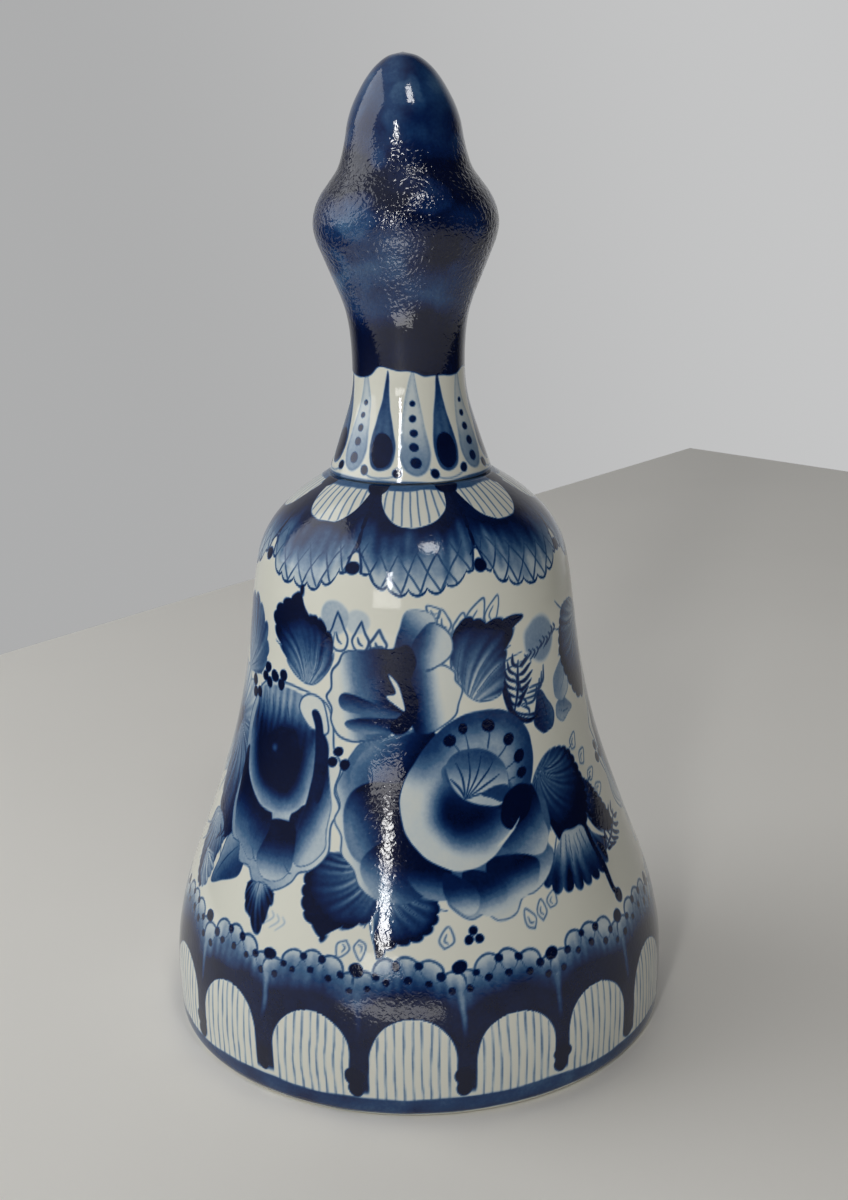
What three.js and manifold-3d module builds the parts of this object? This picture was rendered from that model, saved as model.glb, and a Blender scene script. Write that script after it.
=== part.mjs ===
// A porcelain hand bell: a thin bell cup, a hollow grip luted on its crown, and a ball clapper that
// hangs inside from a swivelling eye pin on a toggle bar. The bar lies over the crown's hole.
// Millimetres, +Z up. The origin is the centre of the ring that the rim stands on.
import * as THREE from 'three';
import { mergeVertices } from 'three/addons/utils/BufferGeometryUtils.js';
import Module from 'manifold-3d';

const wasm = await Module();
wasm.setup();

// Driving dimensions
const GAP = 0.3;                       // clearance kept between touching pieces
const RIM_RADIUS = 35.2;               // widest radius of the cup
const CROWN_HEIGHT = 78.4;             // top of the cup, where the grip stands
const TOTAL_HEIGHT = 132.7;            // tip of the knob
const NECK_RADIUS = 11.4;              // foot of the grip
const CUP_WALL = 2.8;
const GRIP_WALL = 2.6;
const CROWN_HOLE_RADIUS = 3.2;
const WIRE_RADIUS = 0.6;
const EYE_RADIUS = 2.6;                // centreline radius of each wire eye
const BALL_RADIUS = 8;
const BALL_HEIGHT = 20;                // centre of the clapper ball
const CUP_SEGMENTS = 48;
const GRIP_SEGMENTS = 36;
const SMALL_SEGMENTS = 24;

// Heights that follow from them
const gripFoot = CROWN_HEIGHT + GAP;
const crownUnderside = CROWN_HEIGHT - CUP_WALL;
const barThickness = 1.5;
const barBottom = CROWN_HEIGHT + GAP;
const washerBottom = barBottom + barThickness + GAP;
const washerThickness = 0.6;
const headBottom = washerBottom + washerThickness + GAP;
const swingHeight = 70;                // lower wire of the eye pin's ring, which the clapper swings on
const pinEyeHeight = swingHeight + EYE_RADIUS;
const stemEyeHeight = swingHeight + 2 * WIRE_RADIUS + GAP - EYE_RADIUS;

const porcelain = new THREE.MeshStandardMaterial({ color: 0xe4e2d8, roughness: 0.15, metalness: 0 });
const cobalt = new THREE.MeshStandardMaterial({ color: 0x22407f, roughness: 0.15, metalness: 0 });
const steel = new THREE.MeshStandardMaterial({ color: 0x9a9da0, roughness: 0.35, metalness: 1 });
const brass = new THREE.MeshStandardMaterial({ color: 0xb08d4a, roughness: 0.35, metalness: 1 });

const at = (radius, height) => new THREE.Vector2(radius, height);

// A solid of revolution about Z. The outline is radius against height, and runs up its outer side.
function turned(outline, segments) {
  return new THREE.LatheGeometry(outline, segments).rotateX(Math.PI / 2);
}

// The same curve moved inwards by the wall's thickness, from the curve's start to its end.
function innerCurve(curve, wall, steps) {
  const points = [];
  for (let i = 0; i <= steps; i += 1) {
    const point = curve.getPointAt(i / steps);
    const along = curve.getTangentAt(i / steps);
    points.push(at(point.x - along.y * wall, point.y + along.x * wall));
  }
  return points;
}

function toSolid(geometry) {
  const bare = geometry.clone().deleteAttribute('normal').deleteAttribute('uv');
  const merged = mergeVertices(bare, 1e-4);
  const vertProperties = new Float32Array(merged.attributes.position.array);
  const triVerts = new Uint32Array(merged.index.array);
  return new wasm.Manifold(new wasm.Mesh({ numProp: 3, vertProperties, triVerts }));
}

function toGeometry(solid) {
  const mesh = solid.getMesh();
  const geometry = new THREE.BufferGeometry();
  geometry.setAttribute('position', new THREE.BufferAttribute(mesh.vertProperties, 3));
  geometry.setIndex(new THREE.BufferAttribute(mesh.triVerts, 1));
  return geometry;
}

function joined(...geometries) {
  const solids = geometries.map(toSolid);
  return toGeometry(solids.reduce((whole, solid) => whole.add(solid)));
}

// The cup: a nearly upright rim band, a long waisted flank, a round shoulder and a flat crown with
// a hole for the hanger. It stands on a flat ring at the rim.
function cupGeometry() {
  const flank = new THREE.SplineCurve([
    at(35.0, 1.4),
    at(RIM_RADIUS, 6),
    at(35.0, 12),
    at(33.2, 20),
    at(29.5, 30),
    at(25.5, 42),
    at(23.2, 53),
    at(21.7, 65),
    at(20.0, 70.6),
    at(16.2, 75.1),
    at(NECK_RADIUS, CROWN_HEIGHT),
  ]);
  const inside = innerCurve(flank, CUP_WALL, 18).reverse();
  const outline = [
    at(RIM_RADIUS - CUP_WALL - 0.3, 0),
    at(RIM_RADIUS - 1.1, 0),
    ...flank.getSpacedPoints(24),
    at(CROWN_HOLE_RADIUS, CROWN_HEIGHT),
    at(CROWN_HOLE_RADIUS, crownUnderside),
    at(7, crownUnderside),
    ...inside,
    at(RIM_RADIUS - CUP_WALL - 0.3, 0),
  ];
  return turned(outline, CUP_SEGMENTS);
}

// The grip: a flared foot, a slim stem, a round knob and a bud on top. It is a hollow casting, open
// at its foot.
function gripGeometry() {
  const outside = new THREE.SplineCurve([
    at(NECK_RADIUS - 0.3, gripFoot),
    at(9.3, 84),
    at(7.9, 89),
    at(7.6, 94),
    at(8.25, 100),
    at(10.4, 105.6),
    at(12.2, 110.6),
    at(11.5, 114.4),
    at(8.8, 118.4),
    at(7.8, 121.8),
    at(7.0, 125.4),
    at(4.9, 129.4),
    at(2.5, 131.9),
    at(0, TOTAL_HEIGHT),
  ]);
  const hollow = new THREE.SplineCurve(outside.points.slice(0, 11));
  const inside = innerCurve(hollow, GRIP_WALL, 16).reverse();
  inside[inside.length - 1].y = gripFoot;
  const outline = [
    at(0, inside[0].y + 1),
    ...inside,
    ...outside.getSpacedPoints(30),
  ];
  outline[outline.length - 1].x = 0;
  return turned(outline, GRIP_SEGMENTS);
}

// A flat bar with round ends and a hole in its middle. It goes up through the crown's hole endways.
function toggleBarGeometry() {
  const halfWidth = 2.4;
  const halfLength = 6.5;
  const outline = new THREE.Shape();
  outline.absarc(halfLength - halfWidth, 0, halfWidth, -Math.PI / 2, Math.PI / 2);
  outline.absarc(halfWidth - halfLength, 0, halfWidth, Math.PI / 2, Math.PI * 1.5);
  const hole = new THREE.Path();
  hole.absarc(0, 0, WIRE_RADIUS + GAP, 0, Math.PI * 2, true);
  outline.holes.push(hole);
  return new THREE.ExtrudeGeometry(outline, { depth: barThickness, bevelEnabled: false, curveSegments: 10 });
}

// A ring on the stem's or the pin's axis: bore, outer radius and height, with its edges broken.
function collarGeometry(outerRadius, height, edge) {
  const bore = WIRE_RADIUS + GAP;
  const outline = [
    at(bore, 0),
    at(outerRadius - edge, 0),
    at(outerRadius, edge),
    at(outerRadius, height - edge),
    at(outerRadius - edge, height),
    at(bore, height),
    at(bore, 0),
  ];
  return turned(outline, SMALL_SEGMENTS);
}

function wireEye() {
  return new THREE.TorusGeometry(EYE_RADIUS, WIRE_RADIUS, 10, SMALL_SEGMENTS);
}

function wireAlongZ(bottom, top) {
  const wire = new THREE.CylinderGeometry(WIRE_RADIUS, WIRE_RADIUS, top - bottom, 10);
  return wire.rotateX(Math.PI / 2).translate(0, 0, (bottom + top) / 2);
}

// The eye pin: a wire ring below the crown, a shank through the bar, and a domed head on the washer.
function eyePinGeometry() {
  const headRadius = 1.6;
  const head = turned([
    at(0, 0),
    at(headRadius, 0),
    at(headRadius, 0.5),
    at(headRadius * 0.6, 1.2),
    at(0, 1.4),
  ], SMALL_SEGMENTS).translate(0, 0, headBottom);
  const ring = wireEye().rotateY(Math.PI / 2).translate(0, 0, pinEyeHeight);
  const shank = wireAlongZ(pinEyeHeight + EYE_RADIUS, headBottom + 0.5);
  return joined(ring, shank, head);
}

// The clapper's stem: a wire ring hooked through the pin's ring, and a straight wire through the ball.
function stemGeometry() {
  const ring = wireEye().rotateX(Math.PI / 2).translate(0, 0, stemEyeHeight);
  const wire = wireAlongZ(BALL_HEIGHT - BALL_RADIUS - 2.4, stemEyeHeight - EYE_RADIUS);
  return joined(ring, wire);
}

// The ball, bored for the stem.
function ballGeometry() {
  const bore = WIRE_RADIUS + GAP;
  const mouth = Math.acos(bore / BALL_RADIUS);
  const steps = 16;
  const outline = [];
  for (let i = 0; i <= steps; i += 1) {
    const angle = -mouth + (2 * mouth * i) / steps;
    outline.push(at(BALL_RADIUS * Math.cos(angle), BALL_RADIUS * Math.sin(angle)));
  }
  outline.push(outline[0].clone());
  return turned(outline, 28);
}

function piece(name, geometry, material, height = 0) {
  const mesh = new THREE.Mesh(geometry, material);
  mesh.name = name;
  mesh.position.z = height;
  return mesh;
}

const body = new THREE.Group();
body.add(piece('bell_cup', cupGeometry(), porcelain));
body.add(piece('grip', gripGeometry(), cobalt));
body.add(piece('toggle_bar', toggleBarGeometry(), steel, barBottom));
body.add(piece('pin_washer', collarGeometry(2.2, washerThickness, 0.1), brass, washerBottom));

const hanger = new THREE.Group();
hanger.add(piece('eye_pin', eyePinGeometry(), steel));

const collarHeight = 3;
const stopHeight = 1.8;
const ballTop = BALL_HEIGHT + BALL_RADIUS;
const ballBottom = BALL_HEIGHT - BALL_RADIUS;
const clapper = new THREE.Group();
clapper.add(piece('clapper_stem', stemGeometry(), steel));
clapper.add(piece('upper_ferrule', collarGeometry(1.7, collarHeight, 0.4), brass, ballTop + GAP));
clapper.add(piece('clapper_ball', ballGeometry(), porcelain, BALL_HEIGHT));
clapper.add(piece('lower_ferrule', collarGeometry(1.9, stopHeight, 0.4), brass, ballBottom - GAP - stopHeight));

const bell = new THREE.Group();
bell.add(body, hanger, clapper);
export default bell;
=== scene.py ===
"""The look of a hand-painted porcelain bell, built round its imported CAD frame.

The cup and the grip are turned again as fine meshes from the CAD outlines, and their blue painting is
laid on stroke by stroke as one number per vertex, the pigment, which the glaze material colours.
Painting is worked out in millimetres and degrees; everything in Blender is in metres."""

import math

import bpy
import numpy as np
from mathutils import Matrix, Vector


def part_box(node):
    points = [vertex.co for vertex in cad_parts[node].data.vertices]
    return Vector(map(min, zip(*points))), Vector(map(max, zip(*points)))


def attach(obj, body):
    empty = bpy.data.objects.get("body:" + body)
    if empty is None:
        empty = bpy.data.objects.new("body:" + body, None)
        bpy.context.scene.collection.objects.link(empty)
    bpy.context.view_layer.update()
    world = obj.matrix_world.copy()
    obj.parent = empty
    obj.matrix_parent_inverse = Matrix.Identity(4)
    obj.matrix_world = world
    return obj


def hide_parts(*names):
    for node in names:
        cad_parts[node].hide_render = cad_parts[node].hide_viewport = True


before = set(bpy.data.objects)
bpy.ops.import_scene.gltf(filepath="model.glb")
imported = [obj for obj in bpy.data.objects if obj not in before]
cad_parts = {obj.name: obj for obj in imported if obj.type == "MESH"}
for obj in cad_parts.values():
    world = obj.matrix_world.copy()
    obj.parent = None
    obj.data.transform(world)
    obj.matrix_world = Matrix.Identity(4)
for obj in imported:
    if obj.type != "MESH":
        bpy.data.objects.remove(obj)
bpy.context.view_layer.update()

MM = 0.001                      # one millimetre in Blender's metres

# Driving dimensions, in mm, and in degrees from the front to the right
CUP_COLUMNS = 1152              # points round the painted cup
CUP_STEP = 0.2                  # between its rings, along the outline
GRIP_COLUMNS = 448
GRIP_STEP = 0.17
BORE = 0.9                      # hole through the ball, the collars and the bar
WIRE_RADIUS = 0.6
EYE_RADIUS = 2.6                # of each wire eye's middle line
BAR_POINTS = 64                 # round the toggle bar
ARCHES = 16                     # white arches over the rim
FIRST_COLUMN = 9.0              # a dark column between two arches
ARCH_TOP = 14.2
ARCH_SPRING = 8.4               # where an arch's sides start to bend
ARCH_HALF = 5.65
LOBE = 2.85                     # between the lobes of the band over the arches
FANS = 8                        # shells round the shoulder
FIRST_FAN = 1.5
SHELL_LENGTH = 7.2              # white part of a shell
DROPS = 7                       # dark drops round the neck
FIRST_DROP = -22.0
DROP_FOOT = 80.0                # height that the drops stand on
COBALT_EDGE = 92.4              # height where the grip turns blue
CRINKLE_HEIGHT = 110.5          # middle of the crinkled glaze on the knob

# The photograph's viewpoint and table, in metres and degrees
CAMERA_PLACE = (0.0, -0.2205, 0.1216)
CAMERA_PITCH = 15.65
CAMERA_YAW = 0.4
CAMERA_ROLL = -0.97
CAMERA_LENS = 49.11             # mm, for a 36 mm sensor
LAMP_TARGET = (0.0, 0.0, 0.05)
TABLE_CORNER = (0.1136, 0.4347, 0)
DAYLIGHT = (1.0, 0.99, 0.97)


# Painting

def ramp(low, high, value):
    """Smooth step from 0 at low to 1 at high; low may be the larger."""
    step = np.clip((value - low) / (high - low), 0.0, 1.0)
    return step * step * (3.0 - 2.0 * step)


def mix(first, second, share):
    """first where share is 0, second where it is 1."""
    return first + (second - first) * share


def stripes(value, seed, count=6):
    """A streaky line of noise between -1 and 1, smooth and with no period, like a brush's hairs."""
    draw = np.random.default_rng(seed)
    total = np.zeros_like(value)
    for _ in range(count):
        total += np.sin(value * draw.uniform(0.6, 1.6) + draw.uniform(0, 2 * np.pi))
    return total / math.sqrt(count) * 0.8


class Canvas:
    """Blue pigment on a turned wall: rows run up its outline, columns run round it.

    Angles are in degrees from the front, to the right; lengths are in mm."""

    EDGE = 0.13

    def __init__(self, radii, lengths, heights, columns, seed):
        self.radius = radii
        self.length = lengths
        self.height = heights
        self.columns = columns
        self.turn = np.arange(columns) * 360.0 / columns - 180.0
        self.pigment = np.zeros((len(radii), columns))
        self.draw = np.random.default_rng(seed)
        self.wander_x = self.cloud(4.0) + 0.25 * self.cloud(1.5)
        self.wander_y = self.cloud(4.0) + 0.25 * self.cloud(1.5)
        self.draw.standard_normal((2 * len(radii), columns))  # unused, so that the wash keeps its pattern
        self.wash = self.cloud(2.2)

    def cloud(self, size):
        """Smooth noise of about one unit, with lumps of a size in mm, that closes round the wall."""
        rows, columns = self.pigment.shape
        step = self.length[1] - self.length[0]
        pitch = 2 * np.pi * self.radius.mean() / columns
        noise = np.fft.fft2(self.draw.standard_normal((2 * rows, columns)))
        up = np.fft.fftfreq(2 * rows, step)[:, None]
        level = np.fft.fftfreq(columns, pitch)[None, :]
        soft = np.exp(-((up * size) ** 2 + (level * size) ** 2) * 4.0)
        field = np.fft.ifft2(noise * soft).real[:rows]
        return field / field.std()

    def length_at(self, height):
        return float(np.interp(height, self.height, self.length))

    def radius_at(self, height):
        return float(np.interp(height, self.height, self.radius))


class Spot:
    """A place that strokes are drawn from, in mm right and up of it, turned by lean degrees."""

    def __init__(self, canvas, turn, height, size=1.0, lean=0.0, mirror=False, shake=0.22):
        self.canvas = canvas
        self.turn = turn
        self.along = canvas.length_at(height)
        self.radius = canvas.radius_at(height)
        self.size = size
        self.lean = math.radians(lean)
        self.side = -1.0 if mirror else 1.0
        self.shake = shake

    def outward(self, x, y):
        """The spot's own x and y as mm right and up of it on the wall."""
        x = x * self.side * self.size
        y = y * self.size
        c, s = math.cos(self.lean), math.sin(self.lean)
        return x * c + y * s, y * c - x * s

    def view(self, x, y, reach):
        """The pixels within reach of (x, y), and their own coordinates from there."""
        canvas = self.canvas
        right, up = self.outward(x, y)
        reach = reach * self.size + 0.8
        low, high = np.searchsorted(canvas.length, [self.along + up - reach, self.along + up + reach])
        low, high = min(low, len(canvas.length) - 2), max(high, low + 2)
        rows = np.arange(low, min(high, len(canvas.length)))
        radius = canvas.radius[rows][:, None]
        turn = self.turn + math.degrees(right / self.radius)
        half = math.degrees(reach / max(radius.min(), 1.0)) + 4.0
        if half >= 179:
            columns = np.arange(canvas.columns)
        else:
            first = int((turn - half + 180.0) / 360.0 * canvas.columns)
            columns = (first + np.arange(int(2 * half / 360.0 * canvas.columns) + 1)) % canvas.columns
        where = np.ix_(rows, columns)
        off = (canvas.turn[columns][None, :] - self.turn + 180.0) % 360.0 - 180.0
        u = np.radians(off) * radius + canvas.wander_x[where] * self.shake
        v = canvas.length[rows][:, None] - self.along + canvas.wander_y[where] * self.shake
        c, s = math.cos(self.lean), math.sin(self.lean)
        u, v = (u * c - v * s) * self.side / self.size, (v * c + u * s) / self.size
        return where, u - x, v - y

    def lay(self, where, cover, pigment):
        """Paint that hides what is under it."""
        field = self.canvas.pigment
        field[where] = mix(field[where], np.maximum(pigment, 0.0), np.clip(cover, 0, 1))

    def stain(self, where, cover, pigment):
        """Paint that only darkens."""
        field = self.canvas.pigment
        field[where] = np.maximum(field[where], np.maximum(pigment, 0.0) * np.clip(cover, 0, 1))

    def dot(self, x, y, radius, dark=1.0):
        """A round touch of the brush."""
        where, u, v = self.view(x, y, radius)
        distance = np.hypot(u, v)
        self.stain(where, ramp(radius + Canvas.EDGE, radius - Canvas.EDGE, distance), dark)

    def line(self, points, width=0.3, dark=0.6, taper=0.0, close=False):
        """A brush line through points; taper thins both ends."""
        points = np.array(points, float)
        path = smooth_path(points, close)
        centre = (path.min(0) + path.max(0)) / 2
        reach = np.hypot(*(path.max(0) - path.min(0))) / 2 + width
        where, u, v = self.view(centre[0], centre[1], reach)
        distance, place = nearest(path - centre, u, v)
        half = width / 2 * (1.0 - taper * (2 * place - 1) ** 2)
        self.stain(where, ramp(half + Canvas.EDGE, half - Canvas.EDGE, distance), dark)

    def fan(self, outline, base, rim, start, end, teeth, notch, streak, edge, edge_width, seed,
            bend=0.0, near=0.0):
        """A petal or leaf drawn outwards from the spot.

        outline lists (angle, length) clockwise from up; the pigment goes from base to rim, and teeth
        scallop the end. bend curls the streaks, and near rounds the foot off that far from the spot."""
        angles, lengths = np.array(outline, float).T
        where, u, v = self.view(0, 0, lengths.max() * 1.1)
        middle = (angles[0] + angles[-1]) / 2
        away = np.hypot(u, v)
        angle = np.degrees(np.arctan2(u, v)) + bend * away
        angle = (angle - middle + 180.0) % 360.0 - 180.0 + middle
        reach = bell_curve(angles, lengths, angle)
        phase = (angle - angles[0]) / (angles[-1] - angles[0]) * teeth
        reach = reach * (1.0 - notch * (1.0 - np.sqrt(np.abs(np.sin(np.pi * phase)))))
        sideways = np.abs(angle - middle) / (angles[-1] - middle)
        foot = near + (reach - near) * np.clip(sideways, 0, 1) ** 5 * (near > 0)
        share = (away - near) / np.maximum(reach - near, 1e-3)
        inside = np.minimum((reach - away) * 0.85, (away - foot) * 0.85 + 9 * (near == 0))
        swing = np.minimum(angle - angles[0], angles[-1] - angle)
        inside = np.minimum(inside, np.radians(swing) * away + 0.05)
        tone = mix(base, rim, ramp(start, end, share))
        tone = tone + streak * stripes(np.radians(angle) * 26.0, seed) * ramp(0.1, 0.6, share)
        self.lay(where, ramp(-Canvas.EDGE, Canvas.EDGE, inside), np.clip(tone, 0.0, 1.0))
        half = edge_width / 2
        close = np.abs(reach - away) * 0.9
        line = ramp(half + Canvas.EDGE, half - Canvas.EDGE, close) * ramp(-3.0, 0.0, swing)
        self.stain(where, line, edge)

    def petal(self, points, x0, y0, x1, y1, first, last, edge=None, edge_width=0.28, hide=True):
        """A closed outline filled with a tone that goes from first at one point to last at another."""
        self.shape(points, across(x0, y0, x1, y1, first, last), edge, edge_width, hide)

    def shape(self, points, tone, edge=None, edge_width=0.28, hide=True, bite=None):
        """A closed outline filled with a tone: a number, or a function of u, v and depth.

        bite, a function of u and v, takes that much off the edge, for teeth."""
        points = np.array(points, float)
        path = smooth_path(points, True)
        centre = (path.min(0) + path.max(0)) / 2
        reach = np.hypot(*(path.max(0) - path.min(0))) / 2
        where, u, v = self.view(centre[0], centre[1], reach)
        distance, _ = nearest(path - centre, u, v)
        inside = contains(path - centre, u, v)
        depth = np.where(inside, distance, -distance)
        if bite is not None:
            depth = depth - bite(u + centre[0], v + centre[1])
            distance = np.abs(depth)
        pigment = tone(u + centre[0], v + centre[1], depth) if callable(tone) else tone + 0 * u
        cover = ramp(-Canvas.EDGE, Canvas.EDGE, depth)
        (self.lay if hide else self.stain)(where, cover, pigment)
        if edge is not None:
            half = edge_width / 2
            self.stain(where, ramp(half + Canvas.EDGE, half - Canvas.EDGE, distance), edge)


def bell_curve(angles, lengths, angle):
    """Length at each angle, eased smoothly between the listed ones."""
    place = np.clip(np.searchsorted(angles, angle) - 1, 0, len(angles) - 2)
    share = np.clip((angle - angles[place]) / (angles[place + 1] - angles[place]), 0, 1)
    return mix(lengths[place], lengths[place + 1], share * share * (3 - 2 * share))


def across(x0, y0, x1, y1, first, last):
    """A tone that goes from first at one point to last at another."""
    size = (x1 - x0) ** 2 + (y1 - y0) ** 2

    def tone(u, v, depth):
        along = (u - x0) * (x1 - x0) + (v - y0) * (y1 - y0)
        return mix(first, last, ramp(0, 1, along / size))

    return tone


def smooth_path(points, close=False, steps=8):
    """Catmull-Rom points through a list of places."""
    if close:
        ring = np.vstack([points[-1], points, points[0], points[1]])
    else:
        ring = np.vstack([2 * points[0] - points[1], points, 2 * points[-1] - points[-2]])
    p0, p1, p2, p3 = ring[:-3], ring[1:-2], ring[2:-1], ring[3:]
    out = []
    for t in np.arange(steps) / steps:
        out.append(0.5 * (2 * p1 + (p2 - p0) * t + (2 * p0 - 5 * p1 + 4 * p2 - p3) * t ** 2
                          + (3 * p1 - p0 - 3 * p2 + p3) * t ** 3))
    path = np.stack(out, 1).reshape(-1, 2)
    return np.vstack([path, ring[1:2] if close else points[-1:]])


def nearest(path, u, v):
    """Distance from each pixel to a path, and how far along the path that is, from 0 to 1."""
    start, end = path[:-1], path[1:]
    span = end - start
    size = np.maximum((span ** 2).sum(1), 1e-9)
    best = np.full(u.shape, 1e9)
    place = np.zeros(u.shape)
    for i, (a, d, n) in enumerate(zip(start, span, size)):
        t = np.clip(((u - a[0]) * d[0] + (v - a[1]) * d[1]) / n, 0, 1)
        distance = (u - a[0] - t * d[0]) ** 2 + (v - a[1] - t * d[1]) ** 2
        closer = distance < best
        best[closer] = distance[closer]
        place[closer] = (i + t[closer]) / len(start)
    return np.sqrt(best), place


def contains(path, u, v):
    """Whether each pixel is inside a closed path."""
    inside = np.zeros(u.shape, bool)
    for a, b in zip(path[:-1], path[1:]):
        crosses = (a[1] > v) != (b[1] > v)
        slope = (b[0] - a[0]) / (b[1] - a[1]) if b[1] != a[1] else 0.0
        inside ^= crosses & (u < slope * (v - a[1]) + a[0])
    return inside


# Bands round the rim and the shoulder


def rim_band(canvas):
    """A solid line round the foot of the wall."""
    edge = canvas.height[:, None] + 0.12 * canvas.wander_y
    line = ramp(0.45, 0.75, edge) * ramp(3.1, 2.8, edge)
    tone = 0.72 + 0.05 * canvas.wash + 0.1 * ramp(1.4, 0.5, edge)
    canvas.pigment = mix(canvas.pigment, tone, line)


def arcade(canvas):
    """White arches with fine upright lines under a dark band that fades upwards to lobed mounds."""
    pitch = 360.0 / ARCHES
    draw = np.random.default_rng(5)
    for k in range(ARCHES):
        mound(Spot(canvas, FIRST_COLUMN + (k + 0.5) * pitch, ARCH_TOP, shake=0.14), draw)
    for k in range(ARCHES):
        column = Spot(canvas, FIRST_COLUMN + k * pitch, 0.0, shake=0.14)
        where, u, v = column.view(0, 11, 6)
        v = v + 11
        column.stain(where, ramp(3.4, 2.4, np.abs(u)) * ramp(5.0, 6.0, v) * ramp(16.4, 14.4, v), 0.96)
        light = draw.uniform(0.15, 0.75)
        thin = ramp(0.75, 0.1, np.abs(u) / (0.6 + 0.08 * (v - 12)))
        column.lay(where, light * thin * ramp(11.0, 14.5, v) * ramp(18.5, 17.0, v), 0.25)
    for k in range(ARCHES):
        arch(Spot(canvas, FIRST_COLUMN + (k + 0.5) * pitch + draw.uniform(-0.5, 0.5), 0.0, shake=0.08),
             draw)
    for k in range(ARCHES):
        column = Spot(canvas, FIRST_COLUMN + k * pitch, 0.0, shake=0.25)
        column.dot(draw.uniform(-0.15, 0.15), 6.2, draw.uniform(1.15, 1.35))
        column.dot(draw.uniform(-0.15, 0.15), 4.4, draw.uniform(0.95, 1.1))
        column.dot(draw.uniform(-0.3, 0.3), 20.8 + draw.uniform(-0.3, 0.3), draw.uniform(0.8, 1.0))


def mound(spot, draw):
    """The dark band over one arch: near black on the arch, paler upwards, with net lines and dots."""
    lift = draw.uniform(-0.3, 0.4)
    where, u, v = spot.view(0, -2, 13.0)
    v = v - 2
    top = np.full(u.shape, -9.0)
    for k in range(-2, 3):
        rise = 5.9 + lift - 0.1 * k * k - 0.18 * abs(k) ** 3
        top = np.maximum(top, LOBE * 0.59 - np.hypot(u - k * LOBE, v - rise))
    under = np.minimum(5.9 + lift - 0.075 * u ** 2 - v, 6.95 - np.abs(u) - 0.45 * ramp(2.0, 5.5, v))
    depth = np.maximum(top, under)
    band = v + 0.05 * u ** 2 + 0.35 * spot.canvas.wash[where] - lift
    share = np.clip((7.4 - band) / 5.4, 0, 1)
    hairs = 0.1 * stripes(u * 3.4, draw.integers(99)) * share * (1 - share) * 3
    tone = 0.13 + 0.83 * share ** 1.1 + hairs
    spot.lay(where, ramp(-0.12, 0.12, depth) * ramp(-11, -10, v), tone)
    spot.stain(where, ramp(0.3, 0.05, np.abs(top)) * ramp(0.3, -0.1, under) * ramp(3.0, 4.5, v), 0.66)
    cusps = [(x, 6.7 + lift - 0.085 * x * x) for x in (-1.5 * LOBE, -0.5 * LOBE, 0.5 * LOBE, 1.5 * LOBE)]
    feet = [(k * LOBE * 0.97, 4.7 + lift - 0.045 * (k * LOBE) ** 2 + draw.uniform(-0.2, 0.2))
            for k in range(-2, 3)]
    for k, foot in enumerate(feet):
        for cusp in cusps[max(k - 1, 0):k + 1]:
            bow = ((foot[0] * 0.45 + cusp[0] * 0.55), (foot[1] + cusp[1]) / 2 - 0.3)
            spot.line([foot, bow, cusp], 0.24, 0.62)
    for x, y in cusps:
        spot.dot(x + draw.uniform(-0.1, 0.1), y, draw.uniform(0.5, 0.66), 0.96)
    for x, y in feet:
        spot.dot(x + draw.uniform(-0.15, 0.15), y, draw.uniform(0.48, 0.62), 0.98)


def arch(spot, draw):
    """One white arch with upright hair lines."""
    where, u, v = spot.view(0, 8.0, 9.0)
    v = v + 8.0
    lean = draw.uniform(-0.2, 0.2)
    width = ARCH_HALF + draw.uniform(-0.15, 0.1)
    top = ARCH_TOP + draw.uniform(-0.25, 0.3)
    rise = np.clip((v - ARCH_SPRING) / (top - ARCH_SPRING), 0, 1)
    side = width * np.clip(1 - rise ** 2.2, 0, 1) ** 0.5
    inside = np.minimum(side - np.abs(u + lean * rise), (top - v) * 0.9)
    spot.lay(where, ramp(-0.13, 0.13, inside) * ramp(2.6, 3.1, v), 0.0)
    for k in range(-4, 5):
        x = k * 1.16 + draw.uniform(-0.1, 0.1)
        slant = draw.uniform(-0.02, 0.02)
        line = np.abs(u - x - slant * (v - 8))
        strength = 0.36 + 0.1 * np.sin(v * 0.9 + k * 2.0)
        spot.stain(where, ramp(0.22, 0.05, line) * ramp(0.0, 0.3, inside) * ramp(2.8, 3.3, v), strength)


def shoulder(canvas, crease):
    """White shell petals round the neck, each over a dark fan that fades outwards to a lobed edge."""
    half = 180.0 / FANS
    draw = np.random.default_rng(8)
    for k in range(FANS):
        fan_petal(Spot(canvas, FIRST_FAN + 2 * half * k, crease, shake=0.1), half, draw)
    for k in range(FANS):
        gap = Spot(canvas, FIRST_FAN + half * (2 * k + 1), crease, shake=0.12)
        gap.dot(0, -0.2, 1.6, 1.0)
        gap.line([(0, 0), (0, -3.5), (0, -7.4)], 0.8, 0.97)
        gap.line([(0, -7), (0.1, -9.2), (-0.05, -10.4)], 0.7, 0.95, taper=0.6)
        gap.line([(-0.9, -11.5), (0, -10.6), (0.9, -11.5)], 0.3, 0.85)
        gap.dot(draw.uniform(-0.3, 0.3), -12.9 + draw.uniform(-0.3, 0.3), draw.uniform(0.85, 1.0), 0.98)
    down = canvas.length[-1] - canvas.length[:, None] + 0.12 * canvas.wander_y
    canvas.pigment = np.maximum(canvas.pigment, 0.6 * ramp(0.75, 0.5, np.abs(down - 0.2)))


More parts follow.
